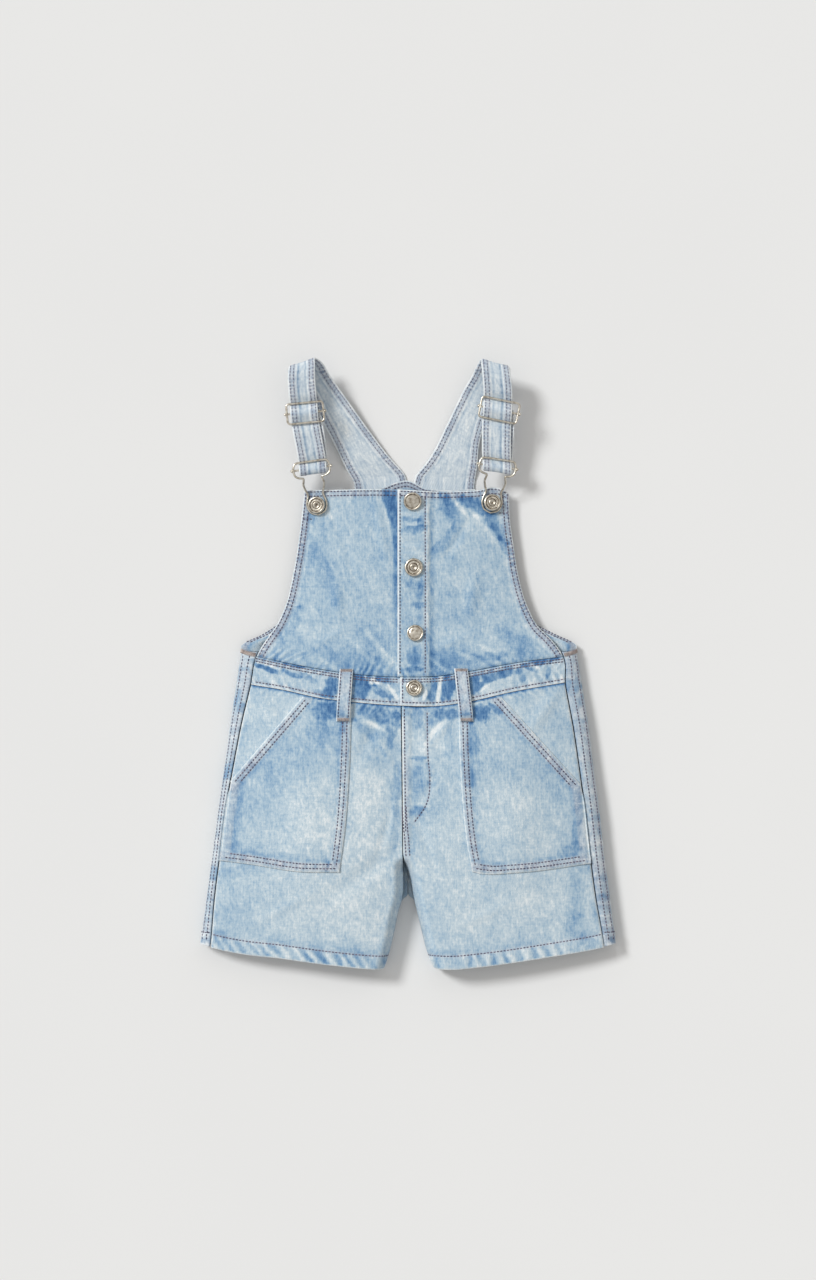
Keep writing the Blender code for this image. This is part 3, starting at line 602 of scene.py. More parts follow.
side_rows = Thread("side_seam_stitches", mauve)
for side in ("left", "right"):
    sign = -1 if side == "left" else 1
    for turn in (0.26, 0.62):
        y = np.linspace(-248, 8, 200)
        x, z = back_place(side, turn + 0 * y, y)
        out = strip_facing(side, turn + 0 * y, y)
        points = np.stack([x, y, z], axis=1) + out * (strip_lift(side, turn + 0 * y, x, y) + 0.1)[:, None]
        side_rows.row(points, out)
    turn = np.linspace(0.05, 1.6, 30)
    y = HEM.at("y", SIDE.at(side, HEM_LEVEL) - sign * 4) + HEM_DEEP + 0 * turn
    x, z = back_place(side, turn, y)
    out = strip_facing(side, turn, y)
    side_rows.row(np.stack([x, y, z], axis=1) + out * (strip_lift(side, turn, x, y) + 0.1)[:, None], out)
    for line in ("hem", "centre"):
        x = np.linspace(SIDE.at(side, HEM_LEVEL) - sign * 14, sign * 24, 120)
        y = HEM.at("y", x) + HEM_DEEP
        if line == "centre":
            y = np.linspace(-204, 8, 160)
            x = 0 * y + sign * 2.6
        down = np.stack([0 * x, 0 * x, -1 + 0 * x], axis=1)
        side_rows.row(np.stack([x, y, 0 * x], axis=1), down, high=0.15)
side_rows.done()
side_tacks = Thread("side_bar_tacks", tan)
for side in ("left", "right"):
    turn = np.linspace(0.02, 0.95, 14)
    y = 8.0 + 4.5 * turn
    x, z = back_place(side, turn, np.minimum(y, WAIST_BACK))
    out = strip_facing(side, turn, np.minimum(y, WAIST_BACK))
    side_tacks.tack(np.stack([x, y, z], axis=1) + out * 0.4, out, 4.4)
side_tacks.done()

# The front legs: one panel each, turned up at the hem, folded over the back at the side seam, and
# lapped right over left at the fly. Palest on the thighs, blue where the folds kept the dye.

def named_rows(names, *table):
    """A table's rows, with each row's values under the names of its columns."""
    return tuple(dict(zip(names.split(), row)) for row in table)


FOLDS = named_rows(
    "x y turn along across rise",
    (-63, 57, 96, 17, 5, 1.2),
    (58, 61, 84, 18, 6, 1.3),
    (-24, 118, 102, 30, 4, 0.9),
    (-124, -42, 125, 24, 6, 1.1),
    (122, -42, 55, 26, 6, 1.2),
    (-34, -66, 60, 26, 6, -1.1),
    (26, -70, 118, 24, 6, -1.0),
    (-36, -185, 35, 36, 8, -1.3),
    (40, -188, 146, 36, 8, -1.3),
    (-92, -150, 88, 60, 22, 1.6),
    (96, -152, 92, 60, 22, 1.6),
)
# Lesser creases, pressed by wear at the crotch, under the waistband and across the bib.
CREASES = named_rows(
    "x y turn along across rise",
    (-22, -58, -38, 20, 2.6, 0.8),
    (-30, -72, -47, 16, 2.4, -0.6),
    (-18, -84, -62, 16, 2.6, 0.5),
    (18, -112, 64, 18, 2.8, -0.6),
    (30, -60, 52, 15, 2.6, 0.6),
    (-20, -150, 72, 26, 4.0, -0.8),
    (-12, -128, 80, 18, 3.0, 0.6),
    (16, -160, 108, 22, 3.6, -0.8),
    (-110, -218, 28, 26, 4.2, 0.5),
    (-60, -226, 152, 22, 4.0, -0.5),
    (70, -224, 24, 24, 4.2, 0.5),
    (128, -214, 150, 22, 4.0, -0.4),
    (-70, 24, 28, 14, 2.8, 0.5),
    (-36, 12, -24, 15, 2.6, 0.6),
    (40, 20, 20, 18, 3.0, 0.5),
    (82, 26, -28, 16, 2.8, -0.5),
    (44, 112, 58, 20, 3.4, -0.7),
    (72, 126, -48, 17, 3.0, 0.7),
    (-66, 128, 110, 14, 2.6, -0.5),
    (-52, 92, 106, 22, 3.0, -0.5),
    (20, 92, 86, 26, 2.8, -0.4),
)
WAIST = Sizes(
    "x top bottom",
    (-141, 7.8, -18.5),
    (-110, 1.0, -23.6),
    (-80, -4.6, -30.2),
    (-50, -9.0, -33.8),
    (-8, -11.8, -37.2),
    (25, -11.2, -37.6),
    (55, -6.8, -33.5),
    (95, 0.6, -24.6),
    (141, 6.6, -16.6),
)
FRONT_WIDE, FRONT_LONG = 165.0, 240.0
FRONT_LEG_CUT = {"flat": (0.186, 0.275), "area": 0.044}


def pressed(x, y, table):
    total = 0.0
    for f in table:
        turn = math.radians(f["turn"])
        dx, dy = x - f["x"], y - f["y"]
        along = dx * math.cos(turn) + dy * math.sin(turn)
        across = dy * math.cos(turn) - dx * math.sin(turn)
        total = total + f["rise"] * np.exp(-((along / f["along"]) ** 2) - (across / f["across"]) ** 2)
    return total


def front_z(x, y):
    """Height of the front's outer face: crowned between its edges, rolled under at the inner legs."""
    left, right = FRONT.at("left", y), FRONT.at("right", y)
    share = np.clip((x - left) / (right - left), 0.0, 1.0)
    edge, crown = FRONT.at("edge", y), FRONT.at("crown", y)
    z = edge + (crown - edge) * (1 - np.abs(2 * share - 1) ** 2.6)
    z = z - VALLEY * np.exp(-(((x - FLY_X) / 30) ** 2)) * smooth(-20, -90, y)
    z = z + pressed(x, y, FOLDS) + pressed(x, y, CREASES)
    rolled = smooth(CROTCH, CROTCH - 11, y)
    inner_left, inner_right = INSEAM.at("left", y), INSEAM.at("right", y)
    inner = np.where(x < (inner_left + inner_right) / 2, inner_left, inner_right)
    inward = np.clip(np.abs(x - inner) / INNER_ROLL, 0, 1)
    return z + rolled * (z - INSEAM.at("z", y)) * (np.sqrt(np.maximum(1 - (1 - inward) ** 2, 0)) - 1)


def on_front(x, y, lift=0.0):
    """Points that far out from the front's outer face, and which way the cloth faces there."""
    step = 0.6
    slope_x = (front_z(x + step, y) - front_z(x - step, y)) / (2 * step)
    slope_y = (front_z(x, y + step) - front_z(x, y - step)) / (2 * step)
    out = np.stack([-slope_x, -slope_y, np.ones_like(slope_x)], axis=-1)
    out /= np.linalg.norm(out, axis=-1, keepdims=True)
    base = np.stack([x, y, front_z(x, y)], axis=-1)
    return base + out * np.asarray(lift)[..., None], out


def between(u, v, left, right, low, high):
    """Flat places of a panel between two side edges, x over y, and two cross edges, y over x."""
    y = low(0 * u) * (1 - v) + high(0 * u) * v
    for _ in range(7):
        x = left(y) * (1 - u) + right(y) * u
        y = low(x) * (1 - v) + high(x) * v
    return x, y


def softened(rows, steps):
    """The rows with others between them on smooth curves."""
    padded = np.vstack([2 * rows[0] - rows[1], rows, 2 * rows[-1] - rows[-2]])
    found = [rows[0]]
    for i in range(len(rows) - 1):
        a, b, c, d = padded[i : i + 4]
        for k in range(1, steps + 1):
            t = k / steps
            curve = (-a + 3 * b - 3 * c + d) * t**3 + (2 * a - 5 * b + 4 * c - d) * t * t
            found.append((curve + (c - a) * t + 2 * b) / 2)
    return np.array(found)


class Line:
    """A seam, an edge or a row of stitches, as a smooth line over the front through a few points."""

    def __init__(self, *points, bend=True):
        rows = np.array(points, float)
        self.rows = softened(rows, 8) if bend and len(rows) > 2 else rows
        self.steps = np.linalg.norm(np.diff(self.rows, axis=0), axis=1)
        self.reach = np.concatenate([[0], np.cumsum(self.steps)])
        self.length = self.reach[-1]

    def beside(self, x, y):
        """How far along the line each place lies, and how far off it, plus on the left of its run."""
        best = np.full(np.shape(x), 1e9)
        along, off = np.zeros_like(best), np.zeros_like(best)
        for (ax, ay), (bx, by), step, start in zip(self.rows, self.rows[1:], self.steps, self.reach):
            dx, dy = (bx - ax) / step, (by - ay) / step
            s = np.clip((x - ax) * dx + (y - ay) * dy, 0, step)
            px, py = x - ax - s * dx, y - ay - s * dy
            far = np.hypot(px, py)
            closer = far < best
            best = np.where(closer, far, best)
            along = np.where(closer, start + s, along)
            off = np.where(closer, far * np.sign(dx * py - dy * px), off)
        return along, off

    def shifted(self, aside):
        """The same line moved that far to the left of its run."""
        heading = np.gradient(self.rows, axis=0)
        heading /= np.linalg.norm(heading, axis=1, keepdims=True)
        moved = self.rows + aside * np.stack([-heading[:, 1], heading[:, 0]], axis=1)
        return Line(*moved, bend=False)

    def part(self, first, last):
        """The stretch of the line between two distances from its start."""
        keep = np.linspace(first, last, max(int((last - first) / 2), 2))
        x, y = (np.interp(keep, self.reach, self.rows[:, k]) for k in (0, 1))
        return Line(*np.stack([x, y], axis=1), bend=False)


def patches(x, y, table, seed):
    """Listed patches with ragged edges, crisper where they are narrow: faded or dye-protected cloth, and a
    few that paint shade along creases.
    """
    total = 0.0 * x
    ragged = 0.3 * mottle(x, y, 5, seed) + 0.22 * mottle(x + 0.5 * y, y, 2.4, seed + 1)
    for p in table:
        turn = math.radians(p["turn"])
        dx, dy = x - p["x"], y - p["y"]
        along = (dx * math.cos(turn) + dy * math.sin(turn)) / p["along"]
        across = (dy * math.cos(turn) - dx * math.sin(turn)) / p["across"]
        soft = min(max(p["across"] / 20, 0.25), 0.8)
        total = total + p["tone"] * smooth(1 + soft, 1 - soft, np.hypot(along, across) + ragged)
    broken = 0.86 + 0.3 * mottle(x + 0.4 * y, y * 0.7, 3.6, seed + 6)
    broken = broken + 0.2 * mottle(x, y * 0.5, 1.8, seed + 7)
    return np.maximum(total * broken, DEEPEST)


DEEPEST = -0.52
LEG_PATCHES = named_rows(
    "x y turn along across tone",
    (-80, -190, 70, 60, 40, 0.06),
    (92, -190, 104, 60, 40, 0.04),
    (-28, -205, 62, 46, 24, 0.10),
    (42, -205, 118, 46, 22, 0.07),
    (-36, -130, 90, 46, 13, 0.10),
    (-30, -45, -6, 24, 7, -0.44),
    (-38, -60, -32, 15, 5, -0.22),
    (-14, -58, 78, 15, 5, -0.26),
    (-24, -74, 70, 22, 12, -0.15),
    (-10, -106, 86, 24, 5, -0.22),
    (-12, -150, 82, 24, 4, -0.16),
    (38, -45, 8, 11, 6, -0.46),
    (24, -48, 40, 9, 5, -0.26),
    (8, -50, 80, 13, 6, -0.20),
    (37, -68, 88, 15, 5, -0.16),
    (12, -84, 2, 9, 2.0, -0.34),
    (9, -104, 84, 18, 8, -0.24),
    (9, -132, 16, 9, 6, -0.36),
    (24, -128, 60, 20, 6, -0.10),
    (3, -158, 94, 18, 4, -0.16),
    (-34, -52, -31, 17, 2.2, 0.26),
    (-20, -50, -44, 11, 1.8, 0.20),
    (-24, -70, -50, 14, 2.4, 0.14),
    (28, -56, 44, 12, 2.0, 0.22),
    (20, -66, 62, 14, 2.2, 0.16),
    (-156, -226, 70, 26, 14, -0.13),
    (-60, -254, -5, 44, 6, -0.07),
    (80, -252, 8, 44, 6, -0.06),
    (152, -238, -50, 20, 10, -0.16),
    (150, -205, 84, 34, 9, -0.10),
    (-150, -186, 8, 26, 5, -0.12),
    (-110, -36, 20, 26, 9, 0.06),
)
FLY_STITCH = Line((17.1, -43.0), (17.7, -80.1), (19.4, -99.7), (18.9, -116.1), (15.0, -128.2), (5.8, -141.3))


def leg_hem(x, y):
    """The rope-like twist of a turned hem, on its ridges 1 and in its hollows -1."""
    above = y - HEM.at("y", x)
    band = smooth(HEM_DEEP + 2.5, HEM_DEEP - 2.5, above) * smooth(-0.5, 2.0, above)
    return puckers(x, above, 12.0, 51, slant=0.6, stray=0.4) * band


def waist_pucker(side, x, waist):
    """The puckers where the waistband gathers a leg's top."""
    return puckers(x, waist, 6.5, 71, slant=0.8 if side == "left" else -0.8)


def leg_lift(side):
    def lift(x, y):
        above = y - HEM.at("y", x)
        seam = np.abs(x - FRONT.at(side, y))
        waist = WAIST.at("bottom", x) - y
        out = 0.5 * smooth(HEM_DEEP + 0.8, HEM_DEEP - 0.8, above) - 0.25 * near(above - HEM_DEEP + 0.2, 0.8)
        out = out + 0.42 * leg_hem(x, y) - 0.7 * near(above, 0.7)
        out = out + 0.2 * puckers(y, seam, 9, 61) * near(seam, 6) - 0.8 * near(seam, 0.7)
        out = out + 0.3 * waist_pucker(side, x, waist) * near(waist, 8)
        out = out - 0.6 * near(waist, 1.0)
        if side == "right":
            lapped = 0.9 * smooth(9, 4, np.abs(x - FLY_X)) * smooth(-166, -156, y)
            along, off = FLY_STITCH.beside(x, y)
            fly = puckers(y, off, 7, 81, slant=0.5) * near(off, 7)
            out = out + lapped + 0.25 * fly - 0.3 * near(off, 0.8) + 0.35 * near(off + 3, 3)
        return out

    return lift


def leg_wear_and_shade(side, x, y):
    """How far the leg has faded and how grey its seams have gone, with a painted shadow line just under the
    waistband.
    """
    above = y - HEM.at("y", x)
    seam = np.abs(x - FRONT.at(side, y))
    waist = WAIST.at("bottom", x) - y
    tone = 0.70 + 0.10 * wash(x, y, 91) + patches(x, y, LEG_PATCHES, 95)
    tone += kept_dye(leg_hem(x, y), x, 99, 0.62, 0.16, least=0.4) + 0.28 * near(above, 0.9)
    tone -= 0.14 * near(above - HEM_DEEP - 3.0, 3.0) * smooth(-0.3, 0.6, mottle(x, 0 * x, 12, 101))
    beside = 0.14 * near(seam - 3.5, 2.4) * smooth(-0.4, 0.5, mottle(y, 0 * y, 14, 97))
    tone += 0.34 * near(seam, 0.8) - beside
    gathers = kept_dye(waist_pucker(side, x, waist), x, 103, 0.3, 0.16)
    tone += gathers * near(waist, 9) - 0.06 * near(waist - 3, 4)
    # Painted shadow: a dark line on the leg just under the waistband's overlapping lower edge.
    tone -= 0.5 * near(waist - 0.6, 1.2)
    grey = 0.4 * near(above - HEM_DEEP, 1.3)
    if side == "right":
        along, off = FLY_STITCH.beside(x, y)
        fly = np.abs(x - FLY_X)
        tone += 0.34 * near(fly, 0.9) * smooth(-176, -150, y) - 0.1 * near(off, 1.2)
        tone += kept_dye(puckers(y, off, 9, 81, slant=0.5), y, 105, 0.2, 0.07) * near(off, 6)
        grey += 0.35 * near(fly - 3.4, 2.2) * smooth(-70, -96, y) + 0.3 * near(off, 1.2)
    return tone, grey


for side in ("left", "right"):
    sign = -1 if side == "left" else 1

    def outer(y, side=side):
        return FRONT.at(side, y)

    def inner(y, side=side, sign=sign):
        return INSEAM.at(side, y) + sign * np.where(y < CROTCH - 6, 0.0, 0.2)

    across = stops(FRONT_WIDE)
    if side == "right":
        across = 1 - across[::-1]
    rolled = np.linspace(0.93, 1, 18) if side == "left" else np.linspace(0, 0.07, 18)
    flat = across[across < 0.925] if side == "left" else across[across > 0.075]
    across = np.unique(np.concatenate([flat, rolled]))
    mesh, u, v = cloth_grid("front_leg_" + side, across, stops(FRONT_LONG))
    edges = (outer, inner) if side == "left" else (inner, outer)
    x, y = between(u, v, *edges, lambda x: HEM.at("y", x), lambda x: WAIST.at("bottom", x) - GAP)
    points, _ = on_front(x, y, leg_lift(side)(x, y))
    run = np.stack([x, y], axis=1)
    cloth(mesh, points, run, *leg_wear_and_shade(side, x, y), denim, **FRONT_LEG_CUT, rests_on=["back_leg_" + side])

# The back of the bib: one panel with curved armholes and an arched neck, seen past the front's armholes
# and between the straps. Plain and faded, double-stitched along its edges.
BACK_BIB = Sizes(
    "y left right edge",
    (11, -150.2, 151.8, 8.0),
    (17.5, -149.6, 151.4, 8.5),
    (25, -134.0, 136.0, 7.5),
    (34.7, -119.5, 117.5, 6.0),
    (55, -98.0, 97.0, 4.5),
    (80, -84.0, 84.0, 3.5),
    (110, -70.0, 72.0, 3.0),
    (140, -56.0, 64.0, 2.5),
    (168, -45.0, 58.5, 2.0),
)
BACK_NECK = Sizes(
    "x y",
    (-50, 157.8),
    (-25, 158.6),
    (-9, 164.4),
    (0, 165.6),
    (7, 162.9),
    (13, 159.4),
    (24, 157.6),
    (62, 157.8),
)
NECK_RAISE = 2.3
BACK_BAND = 7.0
BACK_BIB_WIDE, BACK_BIB_LONG = 230.0, 148.0
BACK_BIB_CUT = {"flat": (0.32, 0.172), "area": 0.036}
BACK_ROW_INSETS = (1.8, 5.2)


def back_bib_z(x, y):
    """The height of the back bib's underside, lifted along its armholes and at the neck."""
    inward = np.minimum(x - BACK_BIB.at("left", y), BACK_BIB.at("right", y) - x)
    neck = BACK_NECK.at("y", x)
    held = smooth(34, 11, inward) - 0.22 * smooth(7, 0, inward)
    return BACK_BIB.at("edge", y) * held + NECK_RAISE * smooth(neck - 24, neck - 13, y)


mesh, u, v = cloth_grid("back_bib", stops(BACK_BIB_WIDE, 2.2), stops(BACK_BIB_LONG, 2.0), flip=True)
x, y = between(
    u,
    v,
    lambda y: BACK_BIB.at("left", y),
    lambda y: BACK_BIB.at("right", y),
    lambda x: 0 * x + WAIST_BACK + GAP,
    lambda x: BACK_NECK.at("y", x),
)
inset = np.minimum(x - BACK_BIB.at("left", y), BACK_BIB.at("right", y) - x)
neck = BACK_NECK.at("y", x) - y
edge = np.minimum(inset, neck)
tips = smooth(96, 118, np.abs(x))
# At the side tips the cloth past the band is painted lighter, to offset the shade that the tilted tips lie
# in.
tone = 0.64 + 0.12 * tips * smooth(7, 9, edge) + 0.12 * wash(x, y, 131) + 0.34 * near(edge, 1.0)
tone += kept_dye(puckers(y, inset, 8, 133), y, 135, 0.3, 0.14) * near(inset - 3, 6) * (1 - 0.7 * tips)
# At the tips, a painted shadow line runs just below the band's turned edge.
tone -= 0.10 * near(edge - BACK_BAND - 1.5, 2.0) + 0.6 * tips * near(edge - BACK_BAND - 1.4, 1.0)
tone += 0.3 * tips * near(edge - BACK_BAND + 0.4, 0.8)
grey = 0.55 * smooth(BACK_BAND + 0.2, BACK_BAND - 0.9, edge) * smooth(0.4, 1.6, edge)
cloth(mesh, np.stack([x, y, back_bib_z(x, y)], axis=1), np.stack([x, y], axis=1), tone, grey, denim,
      **BACK_BIB_CUT, rests_on=["floor"])

# Its rows run round the armholes and the neck, seen from above inside and from below outside.
back_rows = Thread("back_bib_stitches", mauve)


def back_row(x, y):
    """One row of stitches through the back bib, on both its faces."""
    def place(a, b):
        return np.stack([a, b, back_bib_z(a, b)], axis=-1)

    out = outward(place, x, y)
    back_rows.row(place(x, y) + out * (CLOTH + 0.1), out)
    back_rows.row(place(x, y), -out, high=0.15)


for inset in BACK_ROW_INSETS:
    y = np.linspace(19, 152, 120)
    back_row(BACK_BIB.at("left", y) + inset, y)
    back_row(BACK_BIB.at("right", y) - inset, y)
    x = np.linspace(-42, 54, 90)
    back_row(x, BACK_NECK.at("y", x) - inset)
x = np.linspace(-118, 120, 180)
back_row(x, 0 * x + WAIST_BACK + 3.5)
back_rows.done()

# The bib: two panels with a double-stitched top and armhole bands. The right one carries the placket,
# folded along its free edge and lapped over the left one.
PLACKET_EDGE = -9.4
PLACKET_SEAM = 17.0
PLACKET_UNDER = 13.5
PLACKET_PLY = 0.5
BIB_TOP = Sizes("x y", (-94, 156.4), (-8, 156.9), (25, 155.2), (60, 156.2), (84, 157.6), (91, 153.5))
BIB_BAND = 7.2
BIB_WIDE, BIB_LONG = 112.0, 158.0
BIB_CUT = {"flat": (0.155, 0.185), "area": 0.020}
BIB_ROW_INSETS = (1.6, 5.4)
FACING_FOOT = {"left": 130.5, "right": 136.0}
BIB_PATCHES = named_rows(
    "x y turn along across tone",
    # These two patches are painted shade along a crease slanting down the left of the bib.
    (-72, 76, -69, 36, 7, -0.11),
    (-64, 59, -66, 14, 6, -0.10),
    (-106, 36, 62, 22, 6, -0.20),
    (-58, 4, -12, 36, 12, -0.20),
    (-28, 22, -50, 22, 12, -0.12),
    (-88, 128, 84, 12, 3, -0.16),
    (-46, 100, 80, 46, 22, 0.05),
    (37, 140, -62, 14, 7, -0.40),
    (60, 144, -22, 17, 6, -0.46),
    (80, 122, -58, 22, 5, -0.34),
    (85, 108, -68, 10, 3, -0.22),
    (34, 110, 48, 15, 6, -0.20),
    (46, 126, 48, 12, 4, -0.12),
    # Painted shade along a crease slanting down the right of the bib.
    (60, 62, 68, 22, 7, -0.11),
    (98, 18, -36, 18, 8, -0.20),
    (34, 2, 10, 26, 11, -0.20),
    (20, 14, 96, 16, 3.5, -0.22),
    (74, 6, 8, 18, 4, -0.20),
    (56, 96, 90, 34, 20, 0.05),
    (47, 141, -50, 11, 2.0, 0.30),
    (72, 118, -56, 26, 2.2, 0.20),
    (26, 0, -40, 11, 1.8, 0.26),
    (56, 6, -22, 16, 1.8, 0.24),
    (70, 14, -26, 14, 1.8, 0.18),
    (-40, 10, -46, 16, 1.8, 0.18),
    (-26, 14, -54, 20, 2.2, 0.24),
    (-17, 6, -50, 12, 2.0, 0.26),
    (-70, -1, -34, 12, 1.8, 0.20),
    (-72, 136, -62, 12, 2.0, 0.14),
)
PLACKET_PATCHES = named_rows(
    "x y turn along across tone",
    (2, 130, -8, 8, 2.4, -0.32),
    (7, 121, 6, 12, 3.4, -0.38),
    (12, 128, 66, 7, 3, -0.24),
    (4, 72, -14, 7, 4, -0.22),
    (11, 66, 80, 12, 3.4, -0.28),
    (9, 53, -6, 7, 3.4, -0.34),
    (10, 40, 80, 7, 3, -0.14),
    (6, 7, 84, 10, 6, -0.36),
    (4, -5, 2, 11, 2.2, -0.36),
    (9, 100, -40, 9, 2.2, 0.12),
)
BLUE_STRIP = Sizes(
    "y wide kept",
    (-10, 2.0, 0.0),
    (30, 3.0, 0.25),
    (60, 4.0, 0.6),
    (120, 5.5, 0.9),
    (134, 8.5, 1.0),
    (148, 13.5, 1.0),
    (158, 14.5, 0.8),
)


def bib_armhole(side):
    """The bib's outer edge, from the waist seam up to its top corner."""
    ys = np.array([8, 16, 24, 34, 44, 56, 70, 86, 104, 124, 142, 156.5])
    return Line(*np.stack([FRONT.at(side, ys), ys], axis=1))


def bib_lift(side):
    armhole = bib_armhole(side)

    def lift(x, y):
        along, off = armhole.beside(x, y)
        inset = np.abs(off)
        top = BIB_TOP.at("y", x) - y
        waist = y - WAIST.at("top", x)
        out = 0.22 * puckers(along, inset, 5.0, 141) * near(inset - 3, 6) - 0.7 * near(inset, 0.7)
        out = out + 0.35 * smooth(BIB_BAND + 0.7, BIB_BAND - 0.5, inset) - 0.2 * near(inset - BIB_BAND, 0.9)
        out = out + 0.35 * smooth(7.4, 6.4, top) * smooth(0, 2, inset) - 0.6 * near(top, 0.7)
        out = out + 0.22 * puckers(x, top, 7, 143) * near(top - 4, 5)
        slant = -0.8 if side == "left" else 0.8
        out = out + 0.35 * puckers(x, waist, 7.5, 145, slant=slant) * near(waist - 3, 8)
        out = out - 0.8 * near(waist, 1.3)
        if side == "right":
            out = out + (DENIM + GAP) * smooth(PLACKET_SEAM + 8, PLACKET_SEAM - 1, x)
            out = out + PLACKET_PLY * smooth(PLACKET_SEAM + 2.4, PLACKET_SEAM + 0.6, x)
            folded = x - PLACKET_EDGE
            out = out + 0.25 * near(x - PLACKET_SEAM - 0.4, 1.0) - 0.6 * near(folded, 0.7)
            out = out + 0.2 * puckers(y, folded, 9, 147) * smooth(PLACKET_SEAM, 10, x)
            out = out - 0.2 * near(x - PLACKET_SEAM + 1.6, 0.8)
        return out

    return lift


def bib_wear_and_shade(side, x, y):
    """How far the bib has faded and how grey its bands have gone, with painted shade along two creases."""
    along, off = bib_armhole(side).beside(x, y)
    inset = np.abs(off)
    top = BIB_TOP.at("y", x) - y
    waist = y - WAIST.at("top", x)
    tone = 0.61 + 0.13 * wash(x, y, 151) + patches(x, y, BIB_PATCHES, 153)
    tone += kept_dye(puckers(along, inset, 5.0, 141), along, 157, 0.3, 0.2) * near(inset - 3, 4)
    tone += 0.42 * near(inset, 0.9) + 0.14 * near(inset - BIB_BAND - 1.8, 1.2) + 0.34 * near(top, 1.0)
    tone += kept_dye(puckers(x, top, 7, 143), x, 159, 0.26, 0.12) * near(top - 4, 5)
    slant = -0.8 if side == "left" else 0.8
    tone += kept_dye(puckers(x, waist, 7.5, 145, slant=slant), x, 161, 0.34, 0.16) * near(waist - 3, 9)
    tone -= 0.1 * near(waist - 1, 2.5)
    grey = 0.62 * smooth(BIB_BAND + 0.4, BIB_BAND - 0.6, inset) * smooth(0.5, 1.6, inset)
    grey = np.maximum(grey, 0.5 * smooth(7.4, 6.2, top) * smooth(0.5, 1.6, top))
    grey *= 0.85 + 0.4 * mottle(along + top, inset, 5, 163)
    if side == "right":
        folded = x - PLACKET_EDGE
        on_placket = smooth(PLACKET_SEAM + 1.5, PLACKET_SEAM - 0.5, x)
        tone += on_placket * (patches(x, y, PLACKET_PATCHES, 155) + 0.03)
        tone += 0.5 * near(folded, 1.2) + 0.26 * near(x - PLACKET_SEAM - 1.2, 1.1)
        tone -= 0.14 * near(x - PLACKET_SEAM - 4.0, 1.8)
        grey = grey * (1 - 0.7 * near(folded, 1.4)) + 0.3 * near(x - PLACKET_SEAM + 1.6, 1.2)
    else:
        strip = x - (PLACKET_EDGE - BLUE_STRIP.at("wide", y + 1.5 * mottle(y, 0 * y, 6, 165)))
        kept = BLUE_STRIP.at("kept", y)
        tone -= 0.52 * kept * smooth(-0.9, 0.9, strip) * (0.9 + 0.3 * mottle(x, y, 5, 167))
        tone += 0.16 * near(strip + 1.8, 1.0) * smooth(112, 132, y)
    return tone, grey


for side in ("left", "right"):

    def outer(y, side=side):
        return FRONT.at(side, y)

    def placket(y, side=side):
        return 0 * y + (PLACKET_UNDER if side == "left" else PLACKET_EDGE)

    mesh, u, v = cloth_grid("bib_" + side, stops(BIB_WIDE, 1.3), stops(BIB_LONG, 1.3))
    edges = (outer, placket) if side == "left" else (placket, outer)
    x, y = between(u, v, *edges, lambda x: WAIST.at("top", x) + GAP, lambda x: BIB_TOP.at("y", x))
    points, _ = on_front(x, y, bib_lift(side)(x, y))
    run = np.stack([x, y], axis=1)
    cloth(mesh, points, run, *bib_wear_and_shade(side, x, y), denim, **BIB_CUT, rests_on=["back_bib"])

# The waistband: a straight double band split at the placket, its lower edge folded over the legs. Heavily
# worn, with blue left in the puckers beside the loops.
BAND = 1.8
BAND_LONG, BAND_WIDE = 150.0, 27.0
BAND_END = {"left": 11.5, "right": -7.0}
BAND_CUT = {"flat": (0.165, 0.045), "area": 0.0055}
BAND_ROW_INSETS = (-1.9, -4.3)
WAIST_PATCHES = named_rows(
    "x y turn along across tone",
    (-125, -5, -20, 11, 2.6, -0.62),
    (-103, 0, -14, 14, 2.6, -0.56),
    (-105, -9, -20, 8, 2.2, -0.36),
    (-88, -13, -30, 9, 2.8, -0.30),
    (-69, -21, 76, 10, 6.0, -0.66),
    (-79, -26, -20, 7, 2.6, -0.34),
    (-42, -20, 84, 11, 8.5, -0.70),
    (-24, -25, -30, 9, 4.6, -0.58),
    (-20, -15, -20, 9, 2.6, -0.44),
    (22, -21, 86, 11, 4.5, -0.50),
    (36, -20, 84, 12, 6.0, -0.66),
    (60, -19, 84, 9, 6.0, -0.66),
    (77, -10, 10, 25, 4.8, -0.50),
    (70, -16, 24, 8, 2.4, -0.36),
    (119, 2, 12, 16, 3.0, -0.62),
    (109, -4, -24, 9, 1.8, -0.44),
    (126, -8, 70, 6, 2.0, -0.36),
    (104, -12, 60, 5, 2.4, -0.26),
    (-33, -18, -52, 10, 1.4, 0.50),
    (-26, -19, -40, 10, 1.4, 0.44),
    (-14, -24, -52, 9, 1.8, 0.44),
    (-125, -1.6, -18, 11, 1.1, 0.26),
    (28, -22, 80, 11, 1.8, 0.40),
    (17, -24, 66, 9, 1.6, 0.30),
    (112, -1, -24, 9, 1.2, 0.30),
    (67, -22, 40, 9, 1.6, 0.22),
)


def waist_lift(side):
    def lift(x, y):
        top, low = WAIST.at("top", x) - y, y - WAIST.at("bottom", x)
        out = -0.9 * near(top, 1.1) - 0.5 * near(low, 0.7) - 0.25 * near(low - 3, 0.8)
        out = out + 0.30 * puckers(x, low, 7.5, 161, slant=0.5) * near(low - 3, 7)
        out = out + 0.34 * puckers(x, top, 7.5, 145, slant=0.6) * near(top - 3, 7)
        if side == "right":
            out = out + (BAND + GAP) * smooth(22, 14.5, x) - 0.6 * near(x - BAND_END["right"], 0.7)
        return out

    return lift


